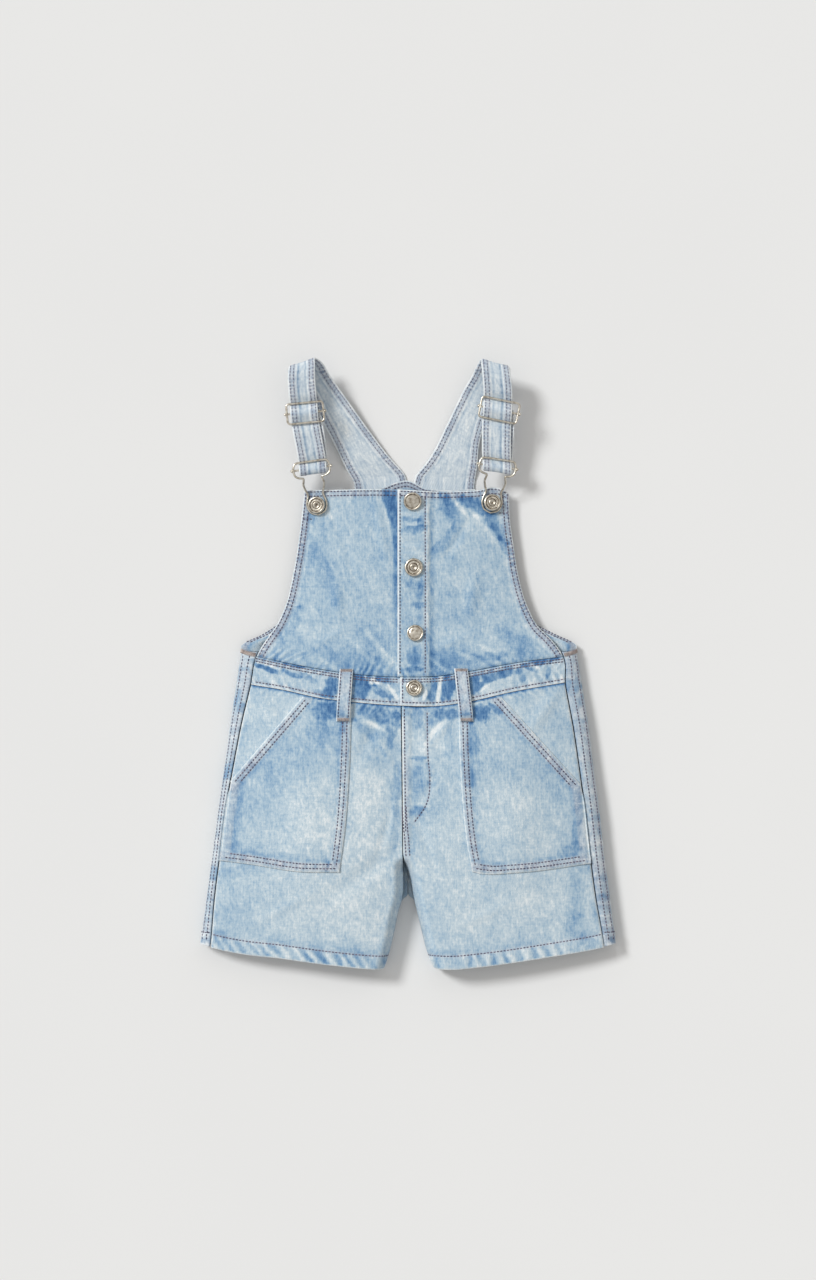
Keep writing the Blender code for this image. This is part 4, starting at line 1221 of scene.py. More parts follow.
def waist_wear(side, x, y):
    """How far the waistband has faded, and how grey it is along its rows."""
    top, low = WAIST.at("top", x) - y, y - WAIST.at("bottom", x)
    tone = 0.70 + 0.14 * wash(x, y, 171) + patches(x, y, WAIST_PATCHES, 173)
    tone += kept_dye(puckers(x, low, 7.5, 161, slant=0.5), x, 175, 0.24, 0.14) * near(low - 3, 7)
    tone += kept_dye(puckers(x, top, 7.5, 145, slant=0.6), x, 177, 0.34, 0.14) * near(top - 3, 6)
    tone += 0.4 * near(low, 0.9) - 0.2 * near(top, 1.2)
    grey = 0.45 * near(low - 3, 1.5) + 0.4 * near(top - 3.1, 2.2)
    if side == "right":
        tone += 0.45 * near(x - BAND_END["right"], 1.2)
    return tone, grey * (0.8 + 0.5 * mottle(x, y, 7, 179))


for side in ("left", "right"):

    def outer(y, side=side):
        return FRONT.at(side, y)

    def end(y, side=side):
        return 0 * y + BAND_END[side]

    mesh, u, v = cloth_grid("waistband_" + side, stops(BAND_LONG, 1.2), stops(BAND_WIDE, 1.0))
    edges = (outer, end) if side == "left" else (end, outer)
    x, y = between(u, v, *edges, lambda x: WAIST.at("bottom", x), lambda x: WAIST.at("top", x))
    points, _ = on_front(x, y, waist_lift(side)(x, y))
    cloth(mesh, points, np.stack([x, y], axis=1), *waist_wear(side, x, y), denim, **BAND_CUT,
          rests_on=["front_leg_" + side], thick=BAND - 0.2)

# The pockets: patches with a slanted mouth, edges turned under and double-stitched, laid on the thighs
# from the waistband down. Palest in the middle.
POCKETS = {
    "left": {
        "mouth": ((-93.6, -28.5), (-160.2, -106.2)),
        "inner": Sizes("y x", (-188, -61.7), (-147, -56.2), (-84, -52.0), (-30, -50.6)),
        "base": Sizes("x y", (-170, -176.3), (-140, -179.8), (-97, -185.8), (-60, -186.2)),
    },
    "right": {
        "mouth": ((81.4, -27.5), (155.4, -109.0)),
        "inner": Sizes("y x", (-188, 58.0), (-160, 52.6), (-132, 49.4), (-80, 46.2), (-30, 45.0)),
        "base": Sizes("x y", (56, -185.2), (65, -187.2), (99, -186.6), (165, -179.0)),
    },
}
POCKET_BAND = 8.6
POCKET_WIDE, POCKET_LONG = 105.0, 158.0
POCKET_TOP_DROP = 2.2
POCKET_CUT = {"flat": (0.13, 0.18), "area": 0.0185}
POCKET_ROW_INSETS = (3.6, 7.4)
POCKET_PATCHES = named_rows(
    "x y turn along across tone",
    (-84, -146, 74, 44, 24, 0.11),
    (-66, -156, 84, 26, 9, 0.06),
    (-108, -92, 44, 46, 18, -0.13),
    (-70, -66, 88, 26, 12, -0.08),
    (-72, -42, 8, 13, 8, -0.52),
    (-58, -56, 80, 8, 4, -0.36),
    (-153, -134, 85, 32, 5, -0.13),
    (-138, -166, -6, 24, 6, -0.10),
    (-100, -172, -8, 20, 2.4, -0.14),
    (94, -140, 90, 44, 28, 0.11),
    (96, -84, -44, 44, 18, -0.12),
    (64, -44, 20, 11, 7, -0.52),
    (78, -40, -30, 9, 3, -0.28),
    (58, -84, 88, 30, 6, -0.20),
    (152, -140, 84, 34, 4, -0.20),
    (144, -168, 20, 14, 6, -0.20),
    (-70, -172, -64, 8, 2, 0.12),
    (-74, -174, -64, 8, 2, -0.22),
)


def pocket_edges(side):
    """The pocket's mouth, and its other three edges run from the mouth's foot to the waistband."""
    cut = POCKETS[side]
    sign = -1 if side == "left" else 1
    ys = np.linspace(cut["mouth"][1][1], -176, 6)
    outside = np.stack([FRONT.at(side, ys) - sign * 1.0, ys], axis=1)
    xs = np.linspace(FRONT.at(side, -176) - sign * 1.2, cut["inner"].at("x", -185), 7)
    base = np.stack([xs, cut["base"].at("y", xs)], axis=1)
    ys = np.linspace(-184, -33, 9)
    inside = np.stack([cut["inner"].at("x", ys), ys], axis=1)
    return {
        "mouth": Line(*cut["mouth"], bend=False),
        "outside": Line(*outside),
        "base": Line(*base),
        "inside": Line(*inside),
    }


def beside_edges(side, x, y):
    """How far along and how far inside each of the pocket's edges a place lies."""
    found = {name: line.beside(x, y) for name, line in pocket_edges(side).items()}
    return {name: (along, np.abs(off)) for name, (along, off) in found.items()}


def pocket_lift(side):
    def lift(x, y):
        out = 0 * x + DENIM + GAP
        for along, off in beside_edges(side, x, y).values():
            out = out + 0.16 * puckers(along, off, 8, 181) * near(off - 4, 6) - 0.75 * near(off, 0.75)
            out = out + 0.25 * smooth(POCKET_BAND + 1, POCKET_BAND - 0.5, off)
            out = out - 0.16 * near(off - POCKET_BAND + 0.6, 0.9)
        return out

    return lift


def pocket_wear(side, x, y):
    """How far the pocket has faded, and how grey it is along its rows."""
    tone = 0.68 + 0.12 * wash(x, y, 191) + patches(x, y, POCKET_PATCHES, 193)
    grey = 0 * x
    for name, (along, off) in beside_edges(side, x, y).items():
        tone += kept_dye(puckers(along, off, 8, 181), along, 195, 0.18, 0.12) * near(off - 4, 6)
        tone += 0.3 * near(off, 0.8) - 0.12 * near(off - POCKET_BAND - 1.5, 2.0)
        band = smooth(POCKET_BAND + 0.4, POCKET_BAND - 0.8, off) * smooth(0.8, 2.2, off)
        grey = np.maximum(grey, band * {"mouth": 0.5, "base": 0.55}.get(name, 0.35))
    return tone, grey * (0.8 + 0.45 * mottle(x, y, 6, 197))


for side in ("left", "right"):
    cut = POCKETS[side]
    sign = -1 if side == "left" else 1

    def outer(y, cut=cut, side=side, sign=sign):
        (top_x, top_y), (low_x, low_y) = cut["mouth"]
        slanted = top_x + (low_x - top_x) * np.clip((top_y - y) / (top_y - low_y), 0, 1)
        return np.where(y > low_y, slanted, FRONT.at(side, y) - sign * smooth(low_y - 16, low_y, y))

    def inner(y, cut=cut):
        return cut["inner"].at("x", y)

    def base(x, cut=cut):
        return cut["base"].at("y", x)

    def top(x):
        return WAIST.at("bottom", x) - POCKET_TOP_DROP

    mesh, u, v = cloth_grid("pocket_" + side, stops(POCKET_WIDE, 1.35), stops(POCKET_LONG, 1.35))
    edges = (outer, inner) if side == "left" else (inner, outer)
    x, y = between(u, v, *edges, base, top)
    points, _ = on_front(x, y, pocket_lift(side)(x, y))
    cloth(mesh, points, np.stack([x, y], axis=1), *pocket_wear(side, x, y), denim, **POCKET_CUT,
          rests_on=["front_leg_" + side])

# The belt loops: strips of the same denim, folded in three and edge-stitched. They arch over the waistband
# and are held by a tan bar tack at each end, with their feet on the pockets' tops.
LOOPS = {
    "left": {"top": (-55.2, -4.4), "foot": (-58.2, -51.6), "half": 6.1},
    "right": {"top": (47.4, -4.0), "foot": (52.4, -51.6), "half": 6.1},
}
LOOP_RISE = 2.4
LOOP_LONG = 47.0
LOOP_CUT = {"flat": (0.026, 0.062), "area": 0.00062}


def loop_place(side, across, share):
    cut = LOOPS[side]
    (top_x, top_y), (foot_x, foot_y) = cut["top"], cut["foot"]
    arch = smooth(0, 0.16, share) * smooth(1, 0.84, share)
    ride = GAP + DENIM + (DENIM + GAP) * smooth(0.52, 0.4, share) + LOOP_RISE * arch
    x = foot_x + (top_x - foot_x) * share + across * cut["half"]
    y = foot_y + (top_y - foot_y) * share
    return x, y, ride - 0.5 * near(np.abs(across) - 1, 0.09)


for side in ("left", "right"):
    mesh, u, v = cloth_grid("belt_loop_" + side, stops(2 * LOOPS[side]["half"], 0.8), stops(LOOP_LONG, 0.9))
    across = 2 * u - 1
    x, y, ride = loop_place(side, across, v)
    points, _ = on_front(x, y, ride)
    edge = 1 - np.abs(across)
    tone = 0.70 + 0.16 * wash(x, y, 201) + 0.35 * near(edge, 0.12) - 0.14 * near(edge - 0.28, 0.14)
    tone -= 0.4 * near(v - 0.14, 0.07) * (0.6 + 0.5 * mottle(x, y, 3, 203)) + 0.1 * near(v - 0.93, 0.06)
    grey = 0.45 * smooth(0.05, 0.16, edge) * (0.8 + 0.5 * mottle(x, y, 5, 205))
    grey = grey * (1 - 0.6 * near(v - 0.14, 0.08))
    cloth(mesh, points, np.stack([x, y], axis=1), tone, grey, denim, **LOOP_CUT,
          rests_on=["waistband_" + side])

# The front's seams: grey-mauve thread in single and double rows, and tan bar tacks where the seams are
# pulled hardest.
FLY_EDGE = Line(*[(INSEAM.at("right", y) + 0.2, y) for y in (-40, -70, -100, -130, -150)])
CROTCH_ROWS = Line((-1.8, -127.0), (-1.0, -142.0), (0.6, -158.0), (1.6, -172.0))


def cross_line(table, name, first, last, above):
    """A row a set distance above or below a cross seam."""
    xs = np.linspace(first, last, 40)
    return Line(*np.stack([xs, table.at(name, xs) + above], axis=1), bend=False)


def hem_span(side):
    y = HEM.at("y", -170 if side == "left" else 170) + HEM_DEEP
    ends = (FRONT.at(side, y) + (0.8 if side == "left" else -0.8), INSEAM.at(side, -LEG_LONG))
    return sorted(ends)


front_rows = Thread("front_leg_stitches", mauve)
for side in ("left", "right"):
    front_rows.along(cross_line(HEM, "y", *hem_span(side), HEM_DEEP), leg_lift(side))
front_rows.along(FLY_STITCH, leg_lift("right"))
front_rows.along(FLY_EDGE.shifted(2.2), leg_lift("right"))
for aside in (0.0, -3.4):
    front_rows.along(CROTCH_ROWS.shifted(aside), leg_lift("right"))
front_rows.done()

bib_rows = Thread("bib_stitches", mauve)
for side in ("left", "right"):
    sign = 1 if side == "left" else -1
    armhole = bib_armhole(side)
    for inset in BIB_ROW_INSETS:
        bib_rows.along(armhole.shifted(-sign * inset).part(1, armhole.length - 2), bib_lift(side))
        ends = (-91.5, -10.8) if side == "left" else (-7.4, 88.5)
        bib_rows.along(cross_line(BIB_TOP, "y", *ends, -inset + 0.1), bib_lift(side))
    foot = FACING_FOOT[side]
    start = FRONT.at(side, foot)
    bib_rows.along(Line((start + sign * 1.0, foot), (start + sign * 10.0, foot), bend=False), bib_lift(side))
bib_rows.along(Line((PLACKET_SEAM - 1.6, -8.5), (PLACKET_SEAM - 1.6, 150)), bib_lift("right"))
bib_rows.along(Line((PLACKET_EDGE + 2.2, -9.0), (PLACKET_EDGE + 2.2, 154)), bib_lift("right"))
bib_rows.done()

waist_rows = Thread("waistband_stitches", mauve)
for side in ("left", "right"):
    ends = (FRONT.at("left", -4) + 1.5, -9.0) if side == "left" else (-5.6, FRONT.at("right", -4) - 1.5)
    waist_rows.along(cross_line(WAIST, "bottom", *ends, 3.0), waist_lift(side))
    for below in BAND_ROW_INSETS:
        waist_rows.along(cross_line(WAIST, "top", *ends, below), waist_lift(side), pitch=2.7)
waist_rows.along(Line((-4.9, -35), (-4.9, -13.5)), waist_lift("right"))
waist_rows.done()

pocket_rows = Thread("pocket_stitches", mauve)
for side in ("left", "right"):
    sign = 1 if side == "left" else -1
    edges = pocket_edges(side)
    for inset in POCKET_ROW_INSETS:
        for name in ("mouth", "base", "inside"):
            begin = 1.5 if name == "mouth" else inset
            row = edges[name].shifted(inset * sign).part(begin, edges[name].length - inset)
            pocket_rows.along(row, pocket_lift(side))
pocket_rows.done()

loop_rows = Thread("belt_loop_stitches", mauve)
loop_tacks = Thread("belt_loop_bar_tacks", tan)
for side in ("left", "right"):
    share = np.linspace(0.07, 0.97, 60)
    for across in (-0.74, 0.74):
        x, y, ride = loop_place(side, across + 0 * share, share)
        loop_rows.row(*on_front(x, y, ride + 0.1), pitch=2.9)
    for share in (0.045, 0.96):
        across = np.linspace(-0.88, 0.88, 12)
        x, y, ride = loop_place(side, across, share + 0 * across)
        loop_tacks.tack(*on_front(x, y, ride + 0.2), 4.2)
loop_rows.done()
loop_tacks.done()

# The shoulder straps: folded twill, wide at the back neck and narrower to the shoulder, hemmed along both
# edges with two rows. Each runs over the shoulder, through its slider and round the hook's bar.
STRAP = 1.4
ROOT_UNDER = 8.0
SLIDER_Z = 30.0
HOOK_Z = 24.0
FOLD_Z = 28.0
STRAP_HALF = {"left": 12.2, "right": 12.9}
STRAP_BACK = {
    "left": named_rows(
        "outer inner z",
        ((-46.8, 158.6), (1.2, 166.2), 0.75),
        ((-50.4, 167.0), (-7.0, 176.0), 1.3),
        ((-56.7, 178.2), (-18.5, 188.7), 3.2),
        ((-66.6, 198.9), (-35.7, 211.1), 6.5),
        ((-78.3, 221.4), (-53.0, 235.3), 11.0),
        ((-91.0, 246.0), (-69.8, 258.5), 17.0),
    ),
    "right": named_rows(
        "outer inner z",
        ((59.3, 158.6), (2.2, 166.4), 0.75),
        ((60.6, 167.0), (10.6, 174.0), 1.3),
        ((62.3, 178.0), (23.1, 191.3), 3.2),
        ((64.8, 201.0), (35.2, 215.5), 6.5),
        ((74.2, 231.6), (49.0, 244.0), 12.5),
        ((80.6, 248.0), (57.4, 258.6), 17.0),
    ),
}
STRAP_LINE = {
    "left": Sizes(
        "y x turn",
        (171, -85.0, 8),
        (182, -86.0, 8),
        (198, -88.6, 7),
        (216, -92.0, 5.4),
        (234, -93.6, 5.4),
        (248, -94.9, 7),
        (257, -95.3, 11),
        (271, -94.7, 19),
    ),
    "right": Sizes(
        "y x turn",
        (171, 80.2, -9),
        (182, 79.8, -9),
        (198, 79.0, -7),
        (218, 79.6, -10),
        (236, 80.5, -10),
        (248, 80.3, -9),
        (257, 79.3, -10),
        (271, 77.6, -16),
    ),
}
FOLD_Y = {"left": 270.0, "right": 269.6}
# How far the inside edge of each strap is drawn aside and up as it comes to the fold.
FOLD_BOW = {"left": (6.4, 3.0), "right": (-4.4, 0.6)}
LACING = named_rows(
    "from along rise shift",
    ("fold", -6.0, -5.6, 0.0),
    ("fold", 0.0, 0.0, 0.0),
    ("fold", -5.0, 5.2, 0.0),
    ("fold", -14.0, 6.0, 0.0),
    ("slider", 17.0, 1.6, 0.0),
    ("slider", 9.0, -2.1, 0.0),
    ("slider", 0.0, 2.1, 0.0),
    ("slider", -9.0, -2.1, 0.0),
    ("slider", -17.0, -1.8, 0.0),
    ("hook", 14.0, 0.6, 0.0),
    ("hook", 6.2, -2.1, 0.0),
    ("hook", 0.3, 2.0, 0.0),
    ("hook", -3.0, 1.2, 0.0),
    ("hook", -4.6, -0.7, 0.0),
    ("hook", -3.0, -2.6, 0.0),
    ("hook", 0.5, -3.2, 0.3),
    ("hook", 6.4, -4.3, 0.8),
    ("hook", 14.0, -2.6, 2.0),
    ("slider", -17.0, -4.0, 3.0),
    ("slider", -9.0, -4.2, 2.6),
    ("slider", 0.0, -2.2, 1.8),
    ("slider", 2.5, -2.3, 1.6),
)
SLIDERS = {
    "left": {"x": -92.0, "y": 224.9, "turn": 5.6, "half": 16.4, "rise": 9.0},
    "right": {"x": 81.6, "y": 227.3, "turn": -11.8, "half": 17.2, "rise": 9.2},
}
HOOKS = {
    "left": {"x": -81.9, "y": 143.1, "turn": 8.2},
    "right": {"x": 75.4, "y": 144.9, "turn": -8.5},
}
HOOK_BAR = 32.6
BACK_ROWS = 6
STRAP_BAND = 6.6
STRAP_WIDE = 27.0
STRAP_CUT = {"flat": (0.06, 0.32), "area": 0.0105}
STRAP_ROW_INSETS = (1.7, 5.0)
SOFT_STEPS = 10


def strap_sections(side):
    """The strap's two edges from its root over the shoulder and through its hardware."""
    edges = [(*row["outer"], row["z"], *row["inner"], row["z"]) for row in STRAP_BACK[side]]
    hook, slide = HOOKS[side], SLIDERS[side]
    bar_y = hook["y"] + HOOK_BAR * math.cos(math.radians(hook["turn"]))
    starts = {"fold": (FOLD_Y[side], FOLD_Z), "slider": (slide["y"], SLIDER_Z), "hook": (bar_y, HOOK_Z)}
    for row in LACING:
        y, z = starts[row["from"]][0] + row["along"], starts[row["from"]][1] + row["rise"]
        x = STRAP_LINE[side].at("x", y) + row["shift"]
        turn = math.radians(STRAP_LINE[side].at("turn", y))
        dx, dy = STRAP_HALF[side] * math.cos(turn), STRAP_HALF[side] * math.sin(turn)
        ends = ((x - dx, y - dy, z), (x + dx, y + dy, z))
        outer, inner = ends if side == "left" else ends[::-1]
        if row is LACING[0]:
            inner = (inner[0] + FOLD_BOW[side][0], inner[1] + FOLD_BOW[side][1], inner[2])
        edges.append((*outer, *inner))
    return np.array(edges)


class StrapRun:
    """A strap's surface: a share across from its outer to its inner edge, and millimetres from its root."""

    def __init__(self, side):
        self.rows = softened(strap_sections(side), SOFT_STEPS)
        middle = (self.rows[:, :3] + self.rows[:, 3:]) / 2
        self.reach = np.concatenate([[0], np.cumsum(np.linalg.norm(np.diff(middle, axis=0), axis=1))])
        self.length = self.reach[-1]
        self.fold = self.reach[(BACK_ROWS + 1) * SOFT_STEPS]
        self.sign = 1 if side == "left" else -1

    def place(self, share, along):
        row = np.stack([np.interp(along, self.reach, self.rows[:, k]) for k in range(6)], axis=-1)
        point = row[..., :3] * (1 - share[..., None]) + row[..., 3:] * share[..., None]
        root = BACK_NECK.at("y", point[..., 0]) - ROOT_UNDER - point[..., 1]
        point[..., 1] += root * smooth(6, 0, along)
        return point

    def width(self, along):
        row = np.stack([np.interp(along, self.reach, self.rows[:, k]) for k in range(6)], axis=-1)
        return np.linalg.norm(row[..., :3] - row[..., 3:], axis=-1)

    def facing(self, share, along):
        """Out of the inner face, which is up at the back and under at the front."""
        def spot(a, b):
            return self.place(a, b * 40)

        return outward(spot, np.clip(share, 0.05, 0.95), along / 40, step=0.04) * self.sign

    def relief(self, share, along):
        inset = np.minimum(share, 1 - share) * self.width(along)
        bands = 0.25 * smooth(STRAP_BAND + 1, STRAP_BAND - 0.4, inset) - 0.5 * near(inset, 0.5)
        turned = np.where(along < self.fold, 1.0, -1.0)
        return turned * bands + 0.1 * puckers(along, inset, 6, 221) * near(inset - 3, 5)


strap_denim = twill("washed_strap_denim", (
    (0.0, srgb(66, 92, 130)),
    (0.2, srgb(100, 128, 160)),
    (0.42, srgb(144, 166, 188)),
    (0.62, srgb(182, 197, 210)),
    (0.82, srgb(206, 216, 223)),
    (1.0, srgb(234, 238, 239)),
), 0.5, 0.86)
pale_mauve = thread_finish("pale_mauve_thread", srgb(88, 90, 114), srgb(150, 148, 164))
strap_rows = Thread("strap_stitches", pale_mauve)
for side in ("left", "right"):
    strap = StrapRun(side)
    mesh, u, v = cloth_grid(
        "strap_" + side, stops(STRAP_WIDE, 1.1), stops(strap.length, 1.25), flip=side == "right"
    )
    along = v * strap.length
    points = strap.place(u, along)
    facing = strap.facing(u, along)
    points += facing * strap.relief(u, along)[:, None]
    inset = np.minimum(u, 1 - u) * strap.width(along)
    run = np.stack([u * strap.width(along), along], axis=1)
    tone = 0.80 + 0.12 * wash(run[:, 0] + 60, along, 231) + 0.3 * near(inset, 0.9)
    band = smooth(STRAP_BAND + 0.5, STRAP_BAND - 0.8, inset) * smooth(0.4, 1.6, inset)
    tone -= 0.12 * band
    tone += kept_dye(puckers(along, inset, 4.6, 233), along, 235, 0.34, 0.2) * near(inset - 3, 4)
    tone += 0.16 * near(inset - STRAP_BAND - 0.6, 0.8) - 0.2 * near(inset - STRAP_BAND - 2.2, 1.1)
    tone -= 0.16 * near(u - 0.36, 0.07) * (along > strap.fold)
    grey = 0.42 * band * (0.8 + 0.5 * mottle(along, inset, 5, 237))
    cloth(mesh, points, run, tone, grey, strap_denim, **STRAP_CUT, slot="strap_denim", offset=0.0,
          thick=STRAP - 0.3, rests_on=["back_bib"])
    for inset in STRAP_ROW_INSETS:
        for end in (0, 1):
            keep = np.linspace(1.5, strap.length - 1.5, 300)
            share = inset / strap.width(keep)
            share = 1 - share if end else share
            facing = strap.facing(share, keep)
            middle = strap.place(share, keep) + facing * strap.relief(share, keep)[:, None]
            for face in (1, -1):
                lifted = middle + face * facing * ((STRAP - 0.3) / 2 + 0.1)
                strap_rows.row(lifted, face * facing, pitch=3.1, wide=0.46)
strap_rows.done()

# The sliders and bib hooks: bent nickel-plated wire, each with a crossbar whose ends are knobs. A slider
# holds the strap's length, and a hook hangs on its bib button.
WIRE = 1.0
HOOK_WIRE = named_rows(
    "across up",
    (0.0, -8.8), (6.3, -6.1), (8.8, 0.0), (8.0, 5.2), (6.9, 10.0), (8.4, 14.5),
    (9.4, 18.8), (8.6, 22.4), (8.6, 24.4), (11.6, 25.2), (14.6, 26.6), (16.2, 29.6),
    (16.3, 34.0), (15.0, 37.6), (12.0, 39.0), (0.0, 39.2),
)
plated = Finish("worn_nickel")
place = plated.add("ShaderNodeTexCoord", out="Object")
smudge = plated.noise(place, (2.6, 2.6), detail=3.0)
scratch = plated.noise(place, (0.5, 1.4), detail=2.0)
tarnish = plated.add("ShaderNodeAttribute", {"attribute_name": "tarnish"}, out="Fac")
plated.feed(plated.shader, {
    "Base Color": plated.add("ShaderNodeValToRGB", {"stops": (
        (0.0, srgb(88, 74, 62)),
        (0.35, srgb(186, 177, 162)),
        (0.6, srgb(224, 218, 206)),
    )}, {0: smudge - tarnish * 0.5}),
    "Metallic": 1.0,
    "Roughness": 0.2 + smudge * 0.22 + tarnish * 0.25,
    "Normal": plated.relief(scratch, 0.00012, 0.4),
})
nickel = plated.material


def metal(name, bm, dark=None):
    """The finished metal piece, with how tarnished each of its points is."""
    mesh = bpy.data.meshes.new(name + "_metal")
    bm.to_mesh(mesh)
    bm.free()
    layer = mesh.attributes.new("tarnish", "FLOAT", "POINT")
    if dark is not None:
        layer.data.foreach_set("value", np.array(dark, dtype=np.float32))
    mesh.materials.append(nickel)
    mesh.shade_smooth()
    mesh.set_sharp_from_angle(angle=math.radians(55))
    obj = shown(bpy.data.objects.new(name + "_metal", mesh))
    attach(obj, "root")
    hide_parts(name)


def bent_wire(points, radius):
    """A closed ring of round wire through the points, as a bmesh."""
    curve = bpy.data.curves.new("wire", "CURVE")
    curve.dimensions = "3D"
    curve.bevel_depth = radius * MM
    curve.bevel_resolution = 4
    spline = curve.splines.new("POLY")
    spline.points.add(len(points) - 1)
    for spot, point in zip(spline.points, points):
        spot.co = (*(Vector(point) * MM), 1)
    spline.use_cyclic_u = True
    holder = shown(bpy.data.objects.new("wire", curve))
    mesh = bpy.data.meshes.new_from_object(holder.evaluated_get(bpy.context.evaluated_depsgraph_get()))
    bpy.data.objects.remove(holder)
    bm = bmesh.new()
    bm.from_mesh(mesh)
    bpy.data.meshes.remove(mesh)
    bmesh.ops.recalc_face_normals(bm, faces=bm.faces)
    return bm


def add_crossbar(bm, middle, turn, half, knob=1.5):
    """The straight bar inside a wire frame, with a rounded knob past each side wire."""
    lie = Matrix.Translation(Vector(middle) * MM) @ Matrix.Rotation(turn, 4, "Z")
    lie = lie @ Matrix.Rotation(math.pi / 2, 4, "Y")
    bmesh.ops.create_cone(
        bm, cap_ends=True, segments=14, radius1=0.9 * WIRE * MM, radius2=0.9 * WIRE * MM,
        depth=2 * half * MM, matrix=lie,
    )
    for sign in (-1, 1):
        spot = lie @ Matrix.Translation((0, 0, sign * (half + 0.9) * MM)) @ Matrix.Diagonal((1, 1, 0.85, 1))
        bmesh.ops.create_uvsphere(bm, u_segments=14, v_segments=8, radius=knob * MM, matrix=spot)


def hook_point(side, across, up):
    """A point of the hook's wire: close to the bib round the button, then rising to the strap."""
    hook = HOOKS[side]
    turn = math.radians(hook["turn"])
    x = hook["x"] + across * math.cos(turn) - up * math.sin(turn)
    y = hook["y"] + across * math.sin(turn) + up * math.cos(turn)
    resting = float(front_z(x, min(y, 154))) + GAP + WIRE + 0.25
    return Vector((x, y, resting + (HOOK_Z - resting) * float(smooth(8, 27, up))))


for side in ("left", "right"):
    size = SLIDERS[side]
    turn = math.radians(size["turn"])
    spot = Matrix.Translation((size["x"], size["y"], SLIDER_Z)) @ Matrix.Rotation(turn, 4, "Z")
    corner, ring = 2.6, []
    for quarter, (cx, cy) in enumerate(((1, 1), (-1, 1), (-1, -1), (1, -1))):
        for degrees in range(0, 91, 15):
            a = math.radians(degrees + 90 * quarter)
            x = cx * (size["half"] - corner) + corner * math.cos(a)
            y = cy * (size["rise"] - corner) + corner * math.sin(a)
            ring.append(spot @ Vector((x, y, 0)))
    bm = bent_wire(ring, WIRE)
    add_crossbar(bm, spot.translation, turn, size["half"] + 0.6)
    metal("slider_" + side, bm)

    half = softened(np.array([(p["across"], p["up"]) for p in HOOK_WIRE]), 5)
    ring = [hook_point(side, a, b) for a, b in half] + [hook_point(side, -a, b) for a, b in half[-2:0:-1]]
    bm = bent_wire(ring, WIRE)
    add_crossbar(bm, hook_point(side, 0, HOOK_BAR), math.radians(HOOKS[side]["turn"]), 16.9)
    metal("bib_hook_" + side, bm)

# The tack buttons: pressed nickel caps with plain raised rings, riveted through the cloth. The bib's two
# stand on longer shanks, with the hooks' wire round them.
HOOK_SHANK = 2.8
BEADS, BEAD_RING, BEAD = 26, 0.66, 0.5
CAPS = {
    "ringed": (
        (0.34, 0.0), (0.34, 1.0), (0.90, 1.15), (0.97, 1.4), (1.0, 1.8), (0.98, 2.25), (0.93, 2.6),
        (0.86, 2.8), (0.80, 2.75), (0.75, 2.5), (0.72, 2.15), (0.66, 1.95), (0.60, 2.1), (0.55, 2.2),
        (0.50, 2.05), (0.44, 1.9), (0.40, 2.1), (0.36, 2.45), (0.30, 2.55), (0.24, 2.4), (0.20, 1.9),
        (0.14, 1.7), (0.06, 1.65),
    ),
    "domed": (
        (0.34, 0.0), (0.34, 1.0), (0.90, 1.15), (0.97, 1.4), (1.0, 1.8), (0.98, 2.2), (0.94, 2.5),
        (0.88, 2.6), (0.83, 2.5), (0.79, 2.2), (0.75, 2.1), (0.70, 2.3), (0.60, 2.5), (0.45, 2.7),
        (0.36, 2.62), (0.30, 2.72), (0.18, 2.8), (0.08, 2.82),
    ),
}
BUTTONS = named_rows(
    "name x y r shank lean cap",
    ("bib_button_left", -81.9, 143.1, 7.7, HOOK_SHANK, 4, "ringed"),
    ("bib_button_right", 75.4, 144.9, 7.7, HOOK_SHANK, -3, "ringed"),
    ("placket_button_1", 4.1, 146.5, 8.2, 0.9, 14, "domed"),
    ("placket_button_2", 5.1, 86.7, 8.3, 0.0, 0, "ringed"),
    ("placket_button_3", 6.5, 27.6, 7.4, 0.0, 0, "domed"),
    ("waist_button", 5.5, -21.7, 7.4, 0.0, 0, "ringed"),
)
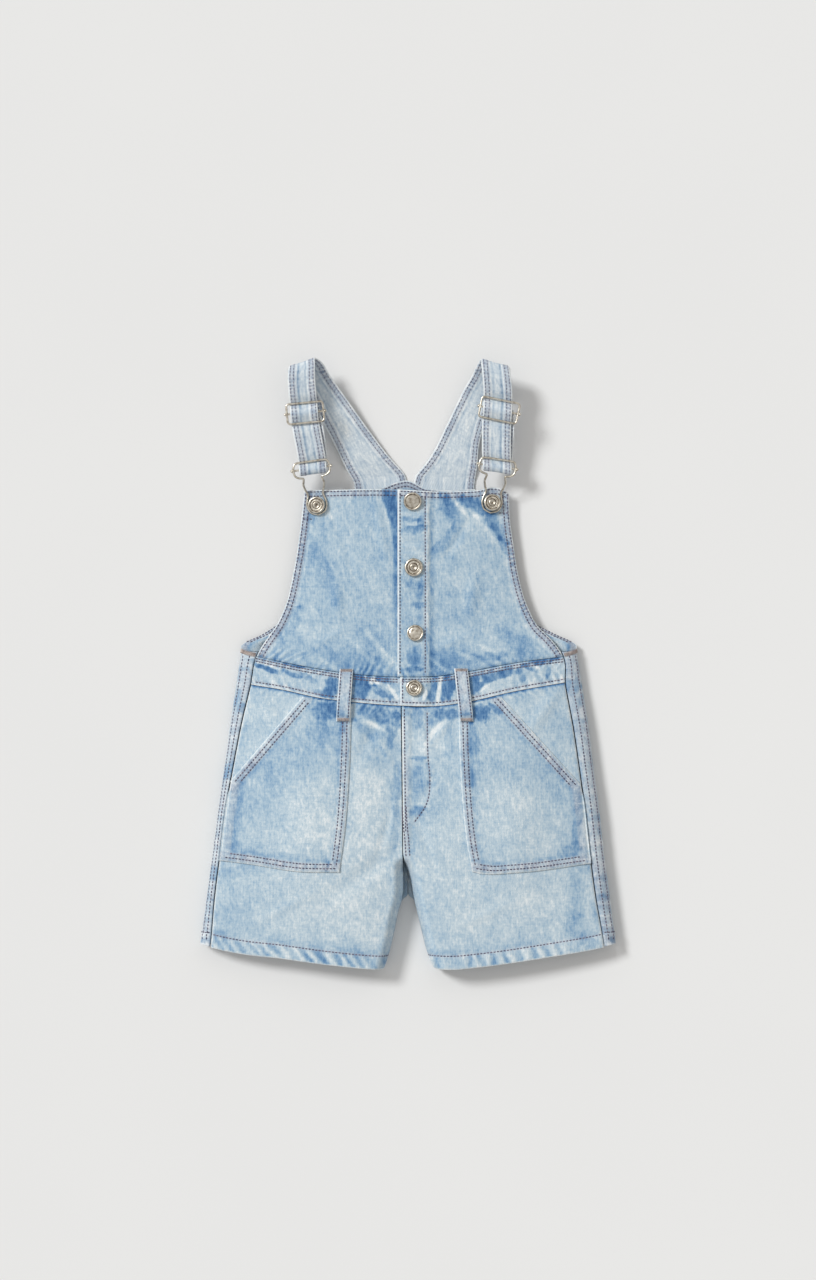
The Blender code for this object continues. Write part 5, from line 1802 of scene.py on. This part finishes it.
for cut in BUTTONS:
    lift = GAP
    if not cut["name"].startswith("bib_button"):
        lift += (BAND if cut["name"] == "waist_button" else DENIM + PLACKET_PLY) + GAP
    cap = CAPS[cut["cap"]]
    outline = [(out * cut["r"], up + (cut["shank"] if i else 0)) for i, (out, up) in enumerate(cap)]
    outline = [(0.0, 0.0)] + outline + [(0.0, outline[-1][1])]
    bm = bmesh.new()
    line = [bm.verts.new((r * MM, 0, h * MM)) for r, h in outline]
    edges = [bm.edges.new(pair) for pair in zip(line, line[1:])]
    bmesh.ops.spin(
        bm, geom=line + edges, axis=(0, 0, 1), cent=(0, 0, 0), angle=2 * math.pi, steps=48, use_merge=True
    )
    bmesh.ops.remove_doubles(bm, verts=bm.verts, dist=0.00001)
    bmesh.ops.recalc_face_normals(bm, faces=bm.faces)
    if cut["cap"] == "ringed":
        for turn in np.linspace(0, 2 * math.pi, BEADS + 1)[:-1]:
            spot = Vector((math.cos(turn), math.sin(turn), 0)) * BEAD_RING * cut["r"]
            spot.z = 2.0 + cut["shank"]
            bmesh.ops.create_uvsphere(
                bm, u_segments=8, v_segments=5, radius=BEAD * MM, matrix=Matrix.Translation(spot * MM)
            )
    far = np.array([math.hypot(v.co.x, v.co.y) / (cut["r"] * MM) for v in bm.verts])
    dark = 0.9 * smooth(0.17, 0.1, far) + near(far - 0.43, 0.05) + near(far - 0.75, 0.045)
    if cut["cap"] == "domed":
        dark = 0.8 * near(far - 0.77, 0.05) + 0.25 * near(far - 0.33, 0.04)
    foot, out = on_front(np.array(cut["x"]), np.array(cut["y"]), lift)
    stand = Vector((0, 0, 1)).rotation_difference(Vector(out)).to_matrix().to_4x4()
    lean = Matrix.Rotation(math.radians(cut["lean"]), 4, "X")
    raised = Matrix.Translation((0, 0, abs(math.sin(math.radians(cut["lean"]))) * cut["r"] * 0.36 * MM))
    seat = Matrix.Translation(Vector(foot) * MM) @ stand @ raised @ lean
    bmesh.ops.transform(bm, matrix=seat, verts=bm.verts)
    metal(cut["name"], bm, np.clip(dark, 0, 1))
